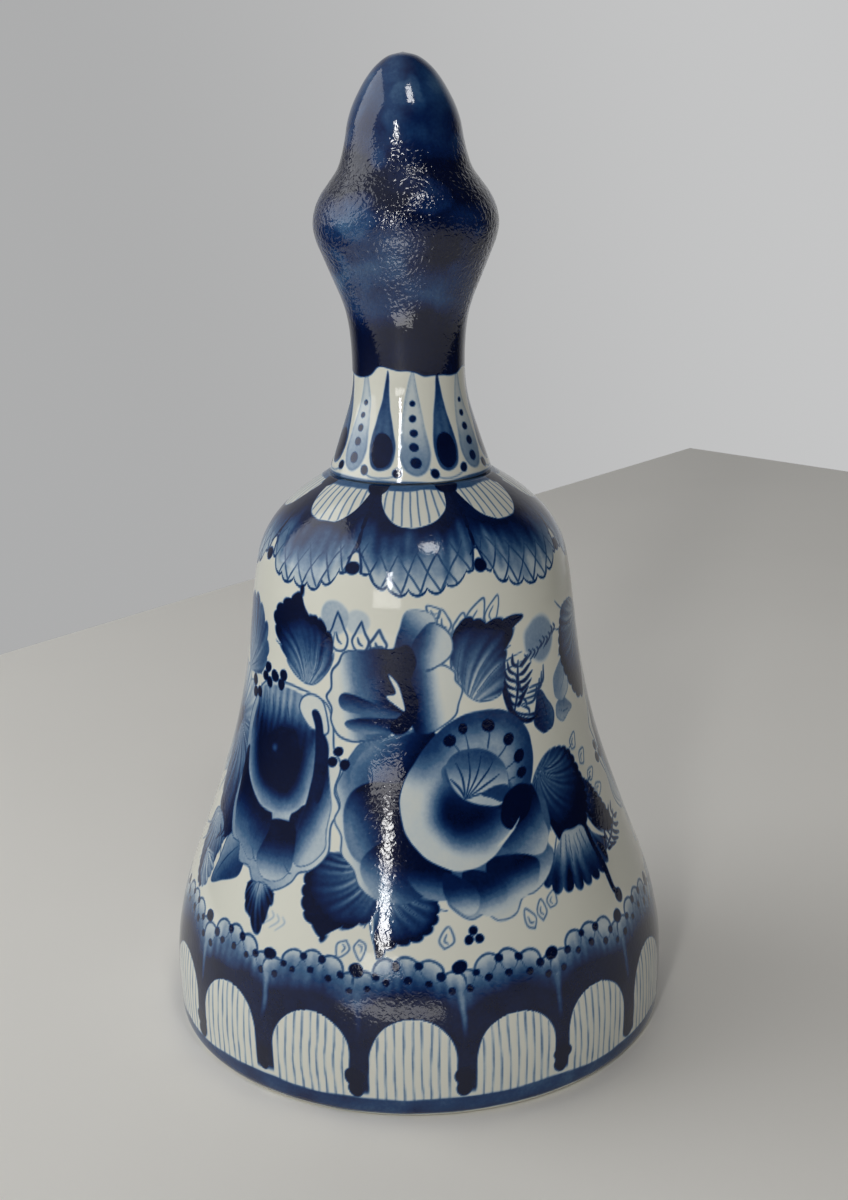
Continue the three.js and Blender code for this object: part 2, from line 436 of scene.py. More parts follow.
def fan_petal(spot, half, draw):
    """One fan of the shoulder, worked out by its angle and its way down the slope."""
    canvas = spot.canvas
    off = (canvas.turn - spot.turn + 180.0) % 360.0 - 180.0
    columns = np.nonzero(np.abs(off) < half + 5)[0]
    rows = np.nonzero(canvas.length > canvas.length[-1] - 19)[0]
    where = np.ix_(rows, columns)
    radius = canvas.radius[rows][:, None]
    angle = off[columns][None, :] + 0.35 * canvas.wander_x[where]
    down = canvas.length[-1] - canvas.length[rows][:, None] + 0.12 * canvas.wander_y[where]
    share = np.abs(angle) / half
    lobes = np.abs(np.sin(angle / half * np.pi * 3.25 + np.pi / 2))
    edge = 16.4 - 3.9 * share ** 2.4 - 1.0 * (1 - np.sqrt(lobes))
    side = np.radians(half * (1.0 - 0.11 * ramp(8.0, 13.5, down)) - np.abs(angle)) * radius
    inside = np.minimum(edge - down, side)
    fade = np.clip((15.6 - down + 0.6 * canvas.wash[where] - 1.6 * share ** 2) / 8.0, 0, 1)
    hairs = 0.12 * stripes(np.radians(angle) * 60, draw.integers(99)) * fade * (1 - fade) * 3
    tone = 0.12 + 0.84 * fade ** 1.05 + hairs
    spot.lay(where, ramp(-0.12, 0.12, inside) * (down > -0.3), tone)
    spot.stain(where, ramp(0.27, 0.07, np.abs(inside)) * (down > 8.4), 0.8)
    for step in range(-4, 5):
        for lean in (-1, 1):
            slant = angle - step * 7.2 - lean * (down - 11.0) * 1.45 - 1.0
            line = np.abs(np.radians(slant) * radius * 0.85)
            spot.stain(where, ramp(0.22, 0.06, line) * ramp(0, 0.3, inside) * ramp(8.0, 9.5, down), 0.66)
    white = SHELL_LENGTH * np.clip(1 - (np.abs(angle) / 19.0) ** 2.3, 0, 1) ** 0.6
    depth = np.minimum(white - down, np.radians(19.0 - np.abs(angle)) * radius)
    spot.lay(where, ramp(-0.12, 0.12, depth) * (down > -0.3), 0.0)
    for step in range(-3, 5):
        line = np.abs(np.radians(angle - (step - 0.5) * 4.4 - 0.12 * down) * radius)
        spot.stain(where, ramp(0.2, 0.06, line) * ramp(0.0, 0.3, depth) * (down > 0.2), 0.4)


# Flowers, leaves and the small marks between them


def berries(spot, places, radius):
    """Near-black dots of one size."""
    for x, y in places:
        spot.dot(x, y, radius)


def big_rose(canvas, turn, height, mirror=False):
    """A full rose seen from the side: a pale cup with a dark heart, on wide dark and fading petals."""
    spot = Spot(canvas, turn, height, mirror=mirror, shake=0.12)
    left_petals(spot)
    lower_petals(spot)
    front_petal(spot)
    heart(spot)


def left_petals(spot):
    """The rose's pale skirt on the left, with four dark petals on it."""
    skirt = [(-3.5, 8.2), (-7, 8.3), (-10.5, 7.2), (-12.8, 6.2), (-14.2, 4.4), (-15.2, 2.4),
             (-16.4, 0.4), (-16.2, -2), (-17.2, -4), (-16.4, -6), (-16.6, -8), (-15.2, -9.8),
             (-14.6, -11.8), (-12.8, -13.2), (-9.5, -13.6), (-5, -12), (0, -9), (0, 4)]
    spot.petal(skirt, -17, -4, -12.5, -3, 0.06, 0.5, 0.6, 0.24)
    spot.petal([(-3, 8), (-7, 8), (-10.8, 6.6), (-13.2, 4.4), (-14.2, 1.6), (-12, 0.6), (-4, -1)],
               -15, 5.4, -7.4, 0.6, 0.3, 1.0)
    spot.shape([(-4, 1.2), (-9.5, 1.9), (-12.6, 1.2), (-14.8, -0.6), (-15.9, -3.2), (-15.9, -6.2),
                (-14.6, -8.6), (-12, -9.6), (-8, -9), (-3, -6)],
               petal_tone(-17, -5, -10.6, -1.8, 0.3, 1.0))
    spot.petal([(-4, -4), (-10, -5.6), (-13.4, -8), (-14.2, -10.4), (-12.4, -12.8), (-8.4, -13.2),
                (-4, -11)], -13.6, -12.8, -9.2, -7.2, 0.25, 1.0)
    spot.petal([(-2, -4), (-7, -7), (-8, -10.2), (-5.5, -13), (-2, -13), (1, -9)],
               -6, -13.4, -5, -9.4, 0.35, 1.0)


def petal_tone(x0, y0, x1, y1, first, last):
    """Like across, with a paler rim."""
    fade = across(x0, y0, x1, y1, first, last)

    def tone(u, v, depth):
        return fade(u, v, depth) * ramp(-0.1, 1.1, depth + 0.7) + 0.12 * ramp(1.2, 0.0, depth)

    return tone


def lower_petals(spot):
    """The thin petals under the cup, dark towards its foot."""
    edge = [(-2, -9), (-3, -12.6), (-2.4, -14.6), (-0.4, -15.9), (1.6, -15.4), (3.4, -16.6),
            (5.8, -16.2), (7.2, -14.6), (9.4, -14.2), (11.6, -12.4), (12.4, -10), (11.6, -8.4),
            (12.6, -6), (11.6, -2), (8, -1), (2, -5)]
    spot.petal(edge, 6, -16, 4, -10.5, 0.05, 0.6, 0.5, 0.24)
    spot.petal([(6.5, -1), (9.6, 0), (11, -2), (11.5, -5), (12, -7.6), (10.4, -9.6), (6, -8.5), (4, -6)],
               12.2, -9.2, 8.2, -3, 0.12, 0.97)
    spot.petal([(2.5, -9.2), (6.2, -9), (9, -9.6), (10, -11), (9.6, -13.2), (7.6, -14.6), (4, -14.4),
                (2.2, -12)], 7.4, -14.6, 6.2, -10.2, 0.1, 0.97)
    spot.petal([(-1, -10), (2.2, -10.6), (4.4, -12), (4.8, -14), (3.6, -15.8), (1, -15.4), (-0.6, -13)],
               2.6, -16, 1.8, -11.4, 0.08, 0.95)
    spot.petal([(-3.4, -10), (-0.6, -11.2), (0.8, -12.8), (0.6, -14.8), (-0.8, -15.4), (-2.6, -14),
                (-3.6, -12)], -1.4, -15.4, -1.6, -11.6, 0.12, 0.9)


def front_petal(spot):
    """The rose's cup: white along its lower left edge, darkening to the heart, blue over the top."""
    outline = [(-3.2, 7.5), (-5.6, 4.6), (-7.4, 1.3), (-8.1, -2), (-7.6, -5), (-5.8, -7.8), (-3.2, -9.6),
               (-0.4, -10), (2.8, -9.2), (5.6, -7.1), (8, -4.4), (10, -1), (10.9, 2.4), (10.4, 6),
               (8.4, 8.8), (5.4, 10.2), (1.6, 10.1), (-1.2, 9.1)]

    def tone(u, v, depth):
        crown = ramp(-2.5, 4.5, v + 0.45 * u)
        bowl = 0.08 + 0.9 * ramp(0.9, 5.8, depth + 0.3 * np.clip(u, -4, 6))
        back = 0.74 - 0.46 * ramp(0.3, 4.4, depth)
        return mix(bowl, back, crown)

    spot.shape(outline, tone)
    spot.shape([(-2.4, 3.6), (-1.8, 0.4), (0.2, -2.2), (3.2, -3.6), (6.6, -3.8), (8.2, -2.2), (6.6, 1.4),
                (2.4, 4.6)], lambda u, v, depth: 0.5 + 0.48 * ramp(0.0, 1.6, depth), hide=False)
    for x, y, radius, foot_x, foot_y in (
            (-1.2, 6.8, 0.85, 0.2, 4.8), (0.7, 8.2, 0.78, 1.3, 5.4), (4.4, 8.2, 0.9, 4.1, 5.4),
            (7.0, 6.2, 0.8, 5.5, 4.3), (8.6, 3.8, 0.88, 6.4, 2.6), (9.0, 1.6, 0.82, 6.7, 0.9)):
        bow = ((x + foot_x) / 2 + 0.15, (y + foot_y) / 2)
        spot.line([(x, y), bow, (foot_x, foot_y)], 0.26, 0.72)
        spot.dot(x, y, radius)


def heart(spot):
    """The pale bowl in the rose's middle, with veins that rise from its lower left."""
    outline = [(-1.9, 3.4), (-1.3, 1.2), (0.3, -0.8), (2.6, -2.1), (5.0, -2.3), (6.4, -0.6), (6.6, 1.8),
               (5.6, 4.0), (3.4, 5.3), (0.8, 5.4), (-1.1, 4.8)]
    spot.shape(outline, lambda u, v, depth: mix(0.16, 0.66, ramp(0.5, 5.0, v + 0.12 * u)), 0.5, 0.2)
    for angle, length in ((-34, 3.6), (-14, 5.6), (6, 6.6), (24, 7.0), (42, 6.9), (60, 6.0), (78, 5.0)):
        x = math.sin(math.radians(angle)) * length
        y = math.cos(math.radians(angle)) * length
        spot.line([(0.5, -0.9), (0.8 + x * 0.5, -0.9 + y * 0.5), (0.5 + x * 0.95, -0.9 + y * 0.95)],
                  0.3, 0.8, taper=0.5)
    spot.shape([(2.6, -0.7), (4.2, 0.2), (6.4, 0.4), (6.6, -1), (5.4, -1.9), (4, -1.3)], 0.72, hide=False)
    spot.shape([(5.6, -1.6), (6.8, -0.4), (8.6, 0.1), (10.2, -0.9), (9.8, -3.2), (8, -4.9), (6.2, -5.6),
                (5.0, -4.2)], 1.0)
    spot.shape([(4.2, -7.6), (6, -6.2), (7.7, -4.3), (7.2, -5.2), (5.6, -7)], 0.03)


def cup_rose(canvas, turn, height, mirror=False):
    """A rose looking down: a dark cup with a pale lip, in hanging white edged petals."""
    spot = Spot(canvas, turn, height, mirror=mirror, shake=0.12)
    skirt = [(-8.6, 8), (-9.2, 3), (-8.4, 0), (-9.2, -4), (-9.0, -8), (-7.4, -10.4), (-5.4, -10.6),
             (-4.4, -12.6), (-2, -12.8), (-0.6, -14.4), (1.4, -14), (3.2, -14.4), (5.6, -12.8),
             (6.6, -11.4), (8.6, -10.6), (10.2, -8.4), (9.7, -5), (10.4, -2.4), (9.4, 0), (9.8, 3),
             (8.2, 5.4), (7.6, 8.6), (6.6, 11), (4, 12), (0, 12.6), (-5, 12)]
    spot.petal(skirt, 9.5, 2, -6, -6, 0.04, 0.3, 0.62, 0.26)
    spot.petal([(5, 8), (7.2, 6), (8.2, 2), (9.2, -2), (9.2, -5.4), (9.6, -8), (8, -10), (6, -10.4),
                (4.6, -8.4), (5, -5), (5.8, 0)], 9.6, -4, 5.6, -2.5, 0.16, 0.96, 0.5, 0.2)
    spot.petal([(3.6, -4), (6.6, -2), (7.2, -4), (5.8, -7), (5.4, -9.6), (4.2, -8.6), (3.4, -6)],
               6.8, -6, 4, -5, 0.5, 0.98, hide=False)
    spot.petal([(-0.6, -6), (4, -5.4), (5.2, -8), (5.2, -11), (3.6, -13), (1, -13.4), (-0.8, -11.6),
                (-1.4, -8.6)], 2, -13.6, 1.4, -7.6, 0.16, 1.0, 0.5, 0.2)
    spot.petal([(-8.4, 2), (-8.6, -3), (-8.4, -7), (-6.8, -9.8), (-4.4, -10.8), (-2, -11.8), (-0.6, -9),
                (0, -5), (-5, -1)], -7, -11.6, -4.6, -4.2, 0.26, 0.98, 0.5, 0.2)
    for x in (-1.9, 4.2):
        spot.line([(x + 0.5, -8.4), (x - 0.3, -10), (x + 0.5, -11.4), (x + 1.4, -11.8)],
                  0.28, 0.6, taper=0.5)
    crown = [(-7.6, 7.6), (-8.2, 3), (-7.2, -0.4), (-5.2, -2.8), (-2.6, -4.4), (0.6, -4.9), (3.6, -4.2),
             (5.4, -2), (6, 1.6), (5.8, 6), (5.2, 9.4), (2, 11.8), (-3, 11.8), (-6.6, 10.4)]

    def tone(u, v, depth):
        lip = mix(0.42, 1.0, ramp(0.4, 3.8, depth * 1.2 + 0.12 * v))
        lip = lip - 0.2 * ramp(0.9, 0.1, depth) * ramp(2.0, -2.0, v)
        top = 0.34 + 0.6 * ramp(11.0, 5.0, v) + 0.12 * stripes(u * 3.2, 4)
        return np.maximum(mix(lip, top, ramp(3.0, 8.5, v)), 0.02)

    spot.shape(crown, tone)
    spot.shape([(-4.6, 6), (-5.4, 3), (-4, 0), (-1, -1.6), (2, -1.4), (4.2, 1), (4.6, 5), (2.6, 8),
                (-1.5, 8)], lambda u, v, depth: 0.6 + 0.4 * ramp(0, 1.8, depth), hide=False)
    for k, x in enumerate((-6.4, -4.8, -3.2, -1.6, 0.2)):
        spot.line([(x - 0.3, 11.0 - 0.2 * k), (x + 0.2, 8.4), (x + 0.9, 6.2)], 0.34, 0.72, taper=0.6)
    spot.shape([(2.2, 9.6), (2.4, 11.2), (4, 12), (5.8, 11.4), (6.6, 9.4), (7, 7.4), (6, 7), (4, 7.6)],
               0.05, 0.62, 0.26)
    spot.shape([(4.1, 9.6), (4.9, 10), (5.7, 9), (6.6, 6.4), (7.6, 3.4), (7.9, 0), (7.2, -2), (6.2, 0),
                (5.8, 4), (5, 7.4)], 0.95)
    # Painted highlight: a soft pale spot laid over the dark cup, standing in for a glint of light
    spot.dot(-1.8, 3.6, 0.45, 0.0)
    where, u, v = spot.view(-1.6, 3.7, 0.9)
    spot.lay(where, ramp(0.9, 0.0, np.hypot(u, v)) * 0.6, 0.42)


def bud(canvas, turn, height, mirror=False):
    """A side bloom: a navy throat with a white eye, in white petals with lobed outlines."""
    spot = Spot(canvas, turn, height, mirror=mirror, shake=0.12)
    left = [(-1, 4.4), (-3.4, 4.2), (-6.2, 3.9), (-7.3, 2.4), (-8.3, 1.2), (-8.3, -0.8), (-9, -2.2),
            (-8.2, -3.6), (-8.4, -5.4), (-7, -7.4), (-4, -7.6), (0, -5)]
    spot.petal(left, -7.4, -1, -3.2, -0.4, 0.03, 0.62, 0.66, 0.3)
    spot.petal([(0.2, 4.6), (0.8, 7.4), (1.6, 9.4), (3.2, 9.7), (5.0, 9.0), (5.6, 7.6), (4, 6.8),
                (2.4, 5)], 0.6, 5.4, 5.0, 8.6, 0.85, 0.14, 0.4, 0.2)
    spot.petal([(2.2, 4.6), (3.4, 6.6), (5.0, 7.8), (6.8, 7.2), (7.8, 5.8), (7.6, 3.8), (6, 2.5),
                (3.8, 1.9), (2.6, 2.6)], 2.6, 5.4, 6.4, 4.6, 0.85, 0.1, 0.58, 0.26)
    spot.petal([(2.2, 2.4), (4.4, 1.8), (6.4, 2.6), (8.0, 1.6), (8.2, 0.4), (9, -1), (8.4, -2.8),
                (8, -4.2), (6.4, -5.4), (4, -6.4), (2.2, -5)],
               2.2, -1.6, 6.6, -1.0, 0.95, 0.03, 0.58, 0.26)
    spot.petal([(-4.6, 3.4), (-2.6, 4.6), (0, 4.8), (2, 5.2), (3.0, 3.2), (2.4, 0.6), (3.2, -2),
                (2.8, -4), (1, -5.8), (-0.6, -5.6), (-2.4, -4.4), (-4.2, -2.6), (-5.4, 0.8)],
               -6.2, -0.6, 0.2, 0.8, 0.36, 1.0)
    spot.petal([(-7.1, -2.4), (-6.4, -1.3), (-4.4, -1.7), (-1.5, -3), (1.4, -4), (0.6, -5.2), (-3, -4.2),
                (-6.2, -3.6)], -4, -1.4, -4.6, -4.2, 0.95, 0.5)
    spot.petal([(-6.2, -5.4), (-4.8, -4.7), (-1.5, -4.5), (1.6, -4.4), (1.8, -5.6), (-1, -6),
                (-3.4, -6.6), (-5.6, -6.2)], -3, -4.6, -3.2, -6.6, 0.95, 0.4)
    spot.shape([(-0.6, -5.4), (0.4, -4.2), (2, -3.2), (2.9, -2.8), (2.8, -4.4), (1.4, -6), (0, -6.2)], 1.0)
    spot.shape([(-0.3, 1.2), (0.7, 0.2), (1.2, -1.4), (1.4, -3.4), (0.4, -2.9), (-0.7, -1.7),
                (0.5, -1.2)], 0.02)
    for x, tip, width in ((-7.0, 9.0, 1.35), (-3.9, 8.1, 1.1), (-1.8, 7.2, 0.95)):
        flame(spot, x, 4.2, tip, width)
    wash(spot, -7.6, 8.2, 2.4, 0.2)
    wash(spot, -4.4, 8.0, 1.8, 0.13)


def wash(spot, x, y, radius, tone):
    """A round touch of very thin paint with a soft edge."""
    where, u, v = spot.view(x, y, radius)
    spot.stain(where, ramp(radius, radius - 0.5, np.hypot(u, v)), tone)


def flame(spot, x, foot, tip, width, dark=0.7):
    """An unopened petal in outline, with a comma inside."""
    rise = tip - foot
    left = [(x, tip), (x - width * 0.55, foot + 0.62 * rise), (x - width, foot + 0.32 * rise),
            (x - width * 0.5, foot)]
    right = [(2 * x - px, py) for px, py in reversed(left[1:])]
    spot.line(left + right + [(x, tip)], 0.3, dark)
    spot.line([(x - 0.3, foot + 0.45 * rise), (x - 0.1, foot + 0.26 * rise),
               (x + 0.35, foot + 0.16 * rise)], 0.32, dark, 0.5)


# Leaf outlines, each with the foot point that it is brushed from
TOP_LEFT_LEAF = ([(-6.2, 2.1), (-3.9, 4.2), (-2.1, 5.4), (-0.6, 6.9), (-0.2, 4.2), (1.2, 3.0),
                  (2.2, 3.1), (3.5, 2.2), (4.8, 0.8), (5.1, -1.4), (4.5, -3.4), (3.1, -5.4), (1.6, -6.1),
                  (0, -5.7), (-2, -4.6), (-3.9, -2.5), (-5.5, -0.5)], (1.0, -6.8))
TOP_RIGHT_LEAF = ([(-4.5, 1.8), (-4.1, 3.9), (-3.1, 5.1), (-1.8, 5.7), (-0.4, 5.4), (0.6, 4.9),
                   (2.7, 4.7), (6.7, 4.6), (5.0, 2.5), (3.8, 0.4), (3.3, -2.1), (2.8, -4.7), (0.8, -5.6),
                   (-1.2, -5.4), (-2.7, -4.3), (-3.4, -1.8), (-4.2, 0)], (-2.6, -6.6))
LOW_LEFT_LEAF = ([(-5.3, -1.1), (-5.0, 2.5), (-3.1, 5.0), (0, 5.6), (3.4, 4.0), (5.4, 1.0), (4.9, -2.3),
                  (2.6, -3.4), (0, -4.2), (-1.7, -5.9), (-2.9, -4.5), (-4.4, -3.4)], (4.6, 5.4))
LOW_RIGHT_LEAF = ([(-4.1, -5.6), (-1.9, -4.3), (1.3, -3.3), (3.4, -1.6), (4.1, 0.7), (3.6, 3.2),
                   (2.0, 5.2), (-0.4, 4.6), (-2.6, 3.2), (-4.2, 0.4), (-4.3, -2.9)], (-3.4, 6.0))
SIDE_LEAF = ([(-4.9, 3.2), (-2.9, 5.8), (0, 7.0), (2.9, 6.2), (4.5, 3.2), (4.9, -0.4), (3.5, -3.9),
              (1.4, -6.4), (-1.2, -7.2), (-2.7, -5.7), (-3.8, -3.2), (-4.5, 0.2)], (-3.6, 4.6))
OUTER_LEAF = ([(-3.3, 5.9), (-0.6, 4.6), (1.6, 1.8), (3.1, -0.9), (3.8, -3.8), (0.8, -3.9), (-1.6, -2.2),
               (-3.4, 1.5)], (-4, 4.6))


def leaf(canvas, turn, height, lean, outline, seed, dark, pale, teeth, veins, bend=2.0, near=0.0):
    """A leaf in one fanned brush load, dark at its toothed end, with fine veins that follow the strokes."""
    spot = Spot(canvas, turn, height, lean=lean, shake=0.12)
    spot.fan(outline, pale, dark, 0.15, 0.85, teeth, 0.09, 0.16, 0.55, 0.2, seed, bend, near)
    low, high = outline[0][0], outline[-1][0]
    reach = max(length for _, length in outline)
    draw = np.random.default_rng(seed)
    for k in range(veins):
        angle = low + (high - low) * (k + 0.8 + draw.uniform(-0.15, 0.15)) / (veins + 0.6)
        first = near + 0.08 * (reach - near)
        last = near + (reach - near) * draw.uniform(0.5, 0.74)
        path = []
        for part in (0.0, 0.35, 0.7, 1.0):
            length = first + (last - first) * part
            a = math.radians(angle - bend * length * 0.6)
            path.append((math.sin(a) * length, math.cos(a) * length))
        spot.line(path, 0.24, 0.68, taper=0.6)


def brushed_leaf(canvas, turn, height, outline, foot, seed, dark, pale, near, far, count=9, veins=7,
                 mirror=False, size=1.0, curl=2.5):
    """A leaf inside an outline, brushed from a foot point: pale there, dark and toothed at its far edge.

    near and far are where the brushed part starts and ends, and count is the number of teeth in 90
    degrees."""
    spot = Spot(canvas, turn, height, size, mirror=mirror, shake=0.1)
    foot_x, foot_y = foot
    points = np.array(outline, float)
    away = np.hypot(points[:, 0] - foot_x, points[:, 1] - foot_y)
    centre = points.mean(0)
    middle = math.degrees(math.atan2(centre[0] - foot_x, centre[1] - foot_y)) + curl * away.mean()

    def polar(u, v):
        """How far a place is from the foot, and how far its brush hair is turned from the middle one."""
        away = np.hypot(u - foot_x, v - foot_y)
        angle = np.degrees(np.arctan2(u - foot_x, v - foot_y)) + curl * away
        return away, (angle - middle + 180.0) % 360.0 - 180.0

    def tone(u, v, depth):
        away, turned = polar(u, v)
        share = np.clip((away + 1.4 * ramp(1.6, 0.0, depth) - near) / (far - near), 0, 1)
        load = mix(pale, dark, share ** 1.3)
        return load + 0.2 * stripes(turned * 0.45, seed) * ramp(1.05, 0.5, load)

    def bite(u, v):
        away, turned = polar(u, v)
        notch = 1.0 - np.sqrt(np.abs(np.sin(turned * math.pi * count / 90.0)))
        return 0.5 * notch * ramp(near, far, away)

    spot.shape(outline, tone, 0.6, 0.2, bite=bite)
    draw = np.random.default_rng(seed)
    spread = np.ptp(polar(points[:, 0], points[:, 1])[1])
    for k in range(veins):
        start = middle + spread * 0.42 * ((k + 0.5) / veins * 2 - 1) + draw.uniform(-2, 2)
        path = []
        for part in (0.15, 0.45, 0.75, 1.0):
            length = near + (far - near) * draw.uniform(0.85, 1.0) * part
            turned = math.radians(start - curl * length)
            path.append((foot_x + math.sin(turned) * length, foot_y + math.cos(turned) * length))
        spot.line(path, 0.24, 0.7, taper=0.6)


def fern(canvas, turn, height, lean, length, dark=0.9):
    """A stem with curved comb strokes on both sides, longest in the middle."""
    spot = Spot(canvas, turn, height, lean=lean, shake=0.14)
    count = 6
    spot.line([(0, 0), (0.4, length * 0.5), (0, length)], 0.36, dark, 0.4)
    for k in range(count):
        rise = length * (k + 0.7) / (count + 0.4)
        out = 2.3 * math.sin(math.pi * (k + 1.2) / (count + 1.6))
        for side in (-1, 1):
            tip = (side * out + 0.2, rise + 1.5)
            spot.line([(0.25, rise), (side * out * 0.6, rise + 0.35), tip], 0.52, dark, 0.75)


def drop_leaf(canvas, turn, height, lean, length, width, pale, dark):
    """A single pointed leaf with a midrib, darker on one side."""
    spot = Spot(canvas, turn, height, lean=lean, shake=0.14)
    points = [(0, length), (-width * 0.3, length * 0.7), (-width * 0.55, length * 0.35),
              (-width * 0.3, 0.05 * length), (0, 0), (width * 0.3, 0.05 * length),
              (width * 0.5, length * 0.35), (width * 0.26, length * 0.7)]
    spot.petal(points, -width * 0.5, 0, width * 0.5, 0, dark, pale, dark, 0.22)
    spot.line([(0, 0.1 * length), (0.1 * width, 0.5 * length), (0, 0.88 * length)],
              0.24, min(dark + 0.1, 1), 0.5)


def bud_outline(canvas, turn, height, lean, length, width, dark=0.55):
    """A pointed petal in outline with a small inner curve."""
    spot = Spot(canvas, turn, height, lean=lean, shake=0.14)
    spot.line([(0, 0), (-width * 0.5, length * 0.3), (-width * 0.38, length * 0.68), (0, length),
               (width * 0.36, length * 0.66), (width * 0.5, length * 0.3), (0, 0)], 0.24, dark)
    spot.line([(-width * 0.1, length * 0.62), (-width * 0.16, length * 0.36),
               (width * 0.12, length * 0.24)], 0.24, dark, 0.4)


def dashes(canvas, turn, height, count, step, rise, length, slant, dark, width):
    """A row of short brush marks that climbs by rise mm each."""
    spot = Spot(canvas, turn, height, shake=0.14)
    for k in range(count):
        x = k * step
        y = k * rise + 0.3 * math.sin(k * 1.7)
        spot.line([(x, y), (x + 0.25 * length + slant, y + 0.6 * length), (x + slant, y + length)],
                  width, dark, 0.5)


def garland(canvas):
    """The flowers round the waist: what the front shows, then the rest in the same hand."""
    left_edge(canvas)
    right_leaves(canvas)
    front(canvas)
    back(canvas)


def left_edge(canvas):
    """Grey-blue leaves and a pale bloom past the left rose."""
    pale_bloom(canvas, -79, 44.5)
    leaf(canvas, -76, 52.5, 30, [(-62, 6), (-40, 9), (-15, 10.5), (5, 11), (25, 10), (45, 8.4), (64, 6)],
         31, 0.62, 0.3, 9, 4)
    leaf(canvas, -78, 37, 108, [(-50, 5), (-25, 8.5), (0, 11.4), (16, 11), (36, 8)], 32, 0.9, 0.4, 7, 5)
    leaf(canvas, -77, 30, 78, [(-40, 5), (-18, 8.6), (0, 10.8), (20, 8)], 33, 0.85, 0.35, 6, 4)
    brushed_leaf(canvas, -67, 38, SIDE_LEAF[0], (3.0, 6.0), 36, 0.95, 0.45, 1.0, 12.0, mirror=True,
                 size=1.15)
    brushed_leaf(canvas, -72, 27.5, SIDE_LEAF[0], (1.0, 6.8), 37, 0.9, 0.3, 1.0, 12.0, mirror=True,
                 size=0.8)
    dashes(canvas, -70, 29, 6, 0.95, 0.42, 2.4, 0.3, 0.95, 0.42)
    leaf(canvas, -74, 27, 140, [(-50, 3.5), (-20, 5.4), (10, 6), (40, 4)], 34, 0.42, 0.12, 6, 4)
    drop_leaf(canvas, -54, 31.5, 214, 9.2, 6.0, 0.3, 0.78)
    leaf(canvas, -43.5, 28.6, 186, [(-56, 3.4), (-34, 4.6), (-4, 7.6), (16, 5.6), (50, 3.2)],
         35, 0.97, 0.25, 5, 3)
    dashes(canvas, -40.5, 22.8, 4, 0.9, 0.1, 1.9, 0.7, 0.2, 0.24)


def right_leaves(canvas):
    """Dark leaves, a stalk and ferns right of the main rose."""
    drop_leaf(canvas, 51.5, 48.6, 98, 4.4, 3.0, 0.28, 0.5)
    drop_leaf(canvas, 53.5, 50, 34, 6.4, 4.2, 0.2, 0.42)
    drop_leaf(canvas, 46.6, 46.4, -14, 5.8, 3.8, 0.62, 0.9)
    brushed_leaf(canvas, 60, 34, *OUTER_LEAF, 42, 1.0, 0.7, 1.0, 6.0, 12, 4)
    brushed_leaf(canvas, 47, 37.2, *SIDE_LEAF, 41, 1.0, 0.6, 2.0, 8.0, 9, 6)
    leaf(canvas, 47, 38, 188, [(-42, 11.5), (-24, 13), (-6, 12.6), (8, 12.8), (22, 13.4), (34, 12.6)],
         43, 0.88, 0.2, 9, 9, bend=0.4, near=5.0)
    stalk = Spot(canvas, 54.5, 31, shake=0.14)
    stalk.line([(-1.2, 3), (-0.6, 0), (0.1, -4), (0.8, -7.6), (1.8, -8.7)], 1.0, 0.97, 0.35)
    stalk.dot(1.6, -8.9, 0.95, 0.97)
    fern(canvas, 57.5, 28.4, 62, 7.4, 0.92)
    fern(canvas, 33, 50.2, 14, 6.6, 0.92)
    spine = Spot(canvas, 31.5, 51, shake=0.1)
    spine.line([(-0.2, 6.2), (-0.5, 3.6), (-0.3, 0.8), (0.6, -1.4), (2.6, -2.4), (4.4, -2.2)],
               0.9, 0.95, 0.5)
    for k in range(5):
        spine.line([(0.8 + 0.25 * k, 4.6 - 1.2 * k), (1.7 + 0.3 * k, 3.6 - 1.1 * k),
                    (1.5 + 0.4 * k, 2.4 - 1.0 * k)], 0.34, 0.8, 0.6)
    dashes(canvas, 38.5, 55.6, 10, 0.66, 0.3, 1.5, 0.5, 0.85, 0.34)
    arcs = Spot(canvas, 40, 52.2, shake=0.14)
    for k in range(4):
        arcs.line([(-1.4 + 0.5 * k, -1.2 + 0.55 * k), (0.4 + 0.6 * k, -1.3 + 0.7 * k),
                   (1.2 + 0.6 * k, 0.4 + 0.8 * k)], 0.36, 0.75, 0.5)
    arcs.line([(-3.8, -1.6), (-1.6, -2.6), (1.0, -3.0), (2.6, -2.6)], 0.42, 0.85, 0.4)
    for turn, height, lean in ((56, 42.6, 40), (58.5, 40.6, 62), (60.5, 38, 74), (62.5, 35.8, 86)):
        bud_outline(canvas, turn, height, lean, 2.6, 1.5, 0.5)


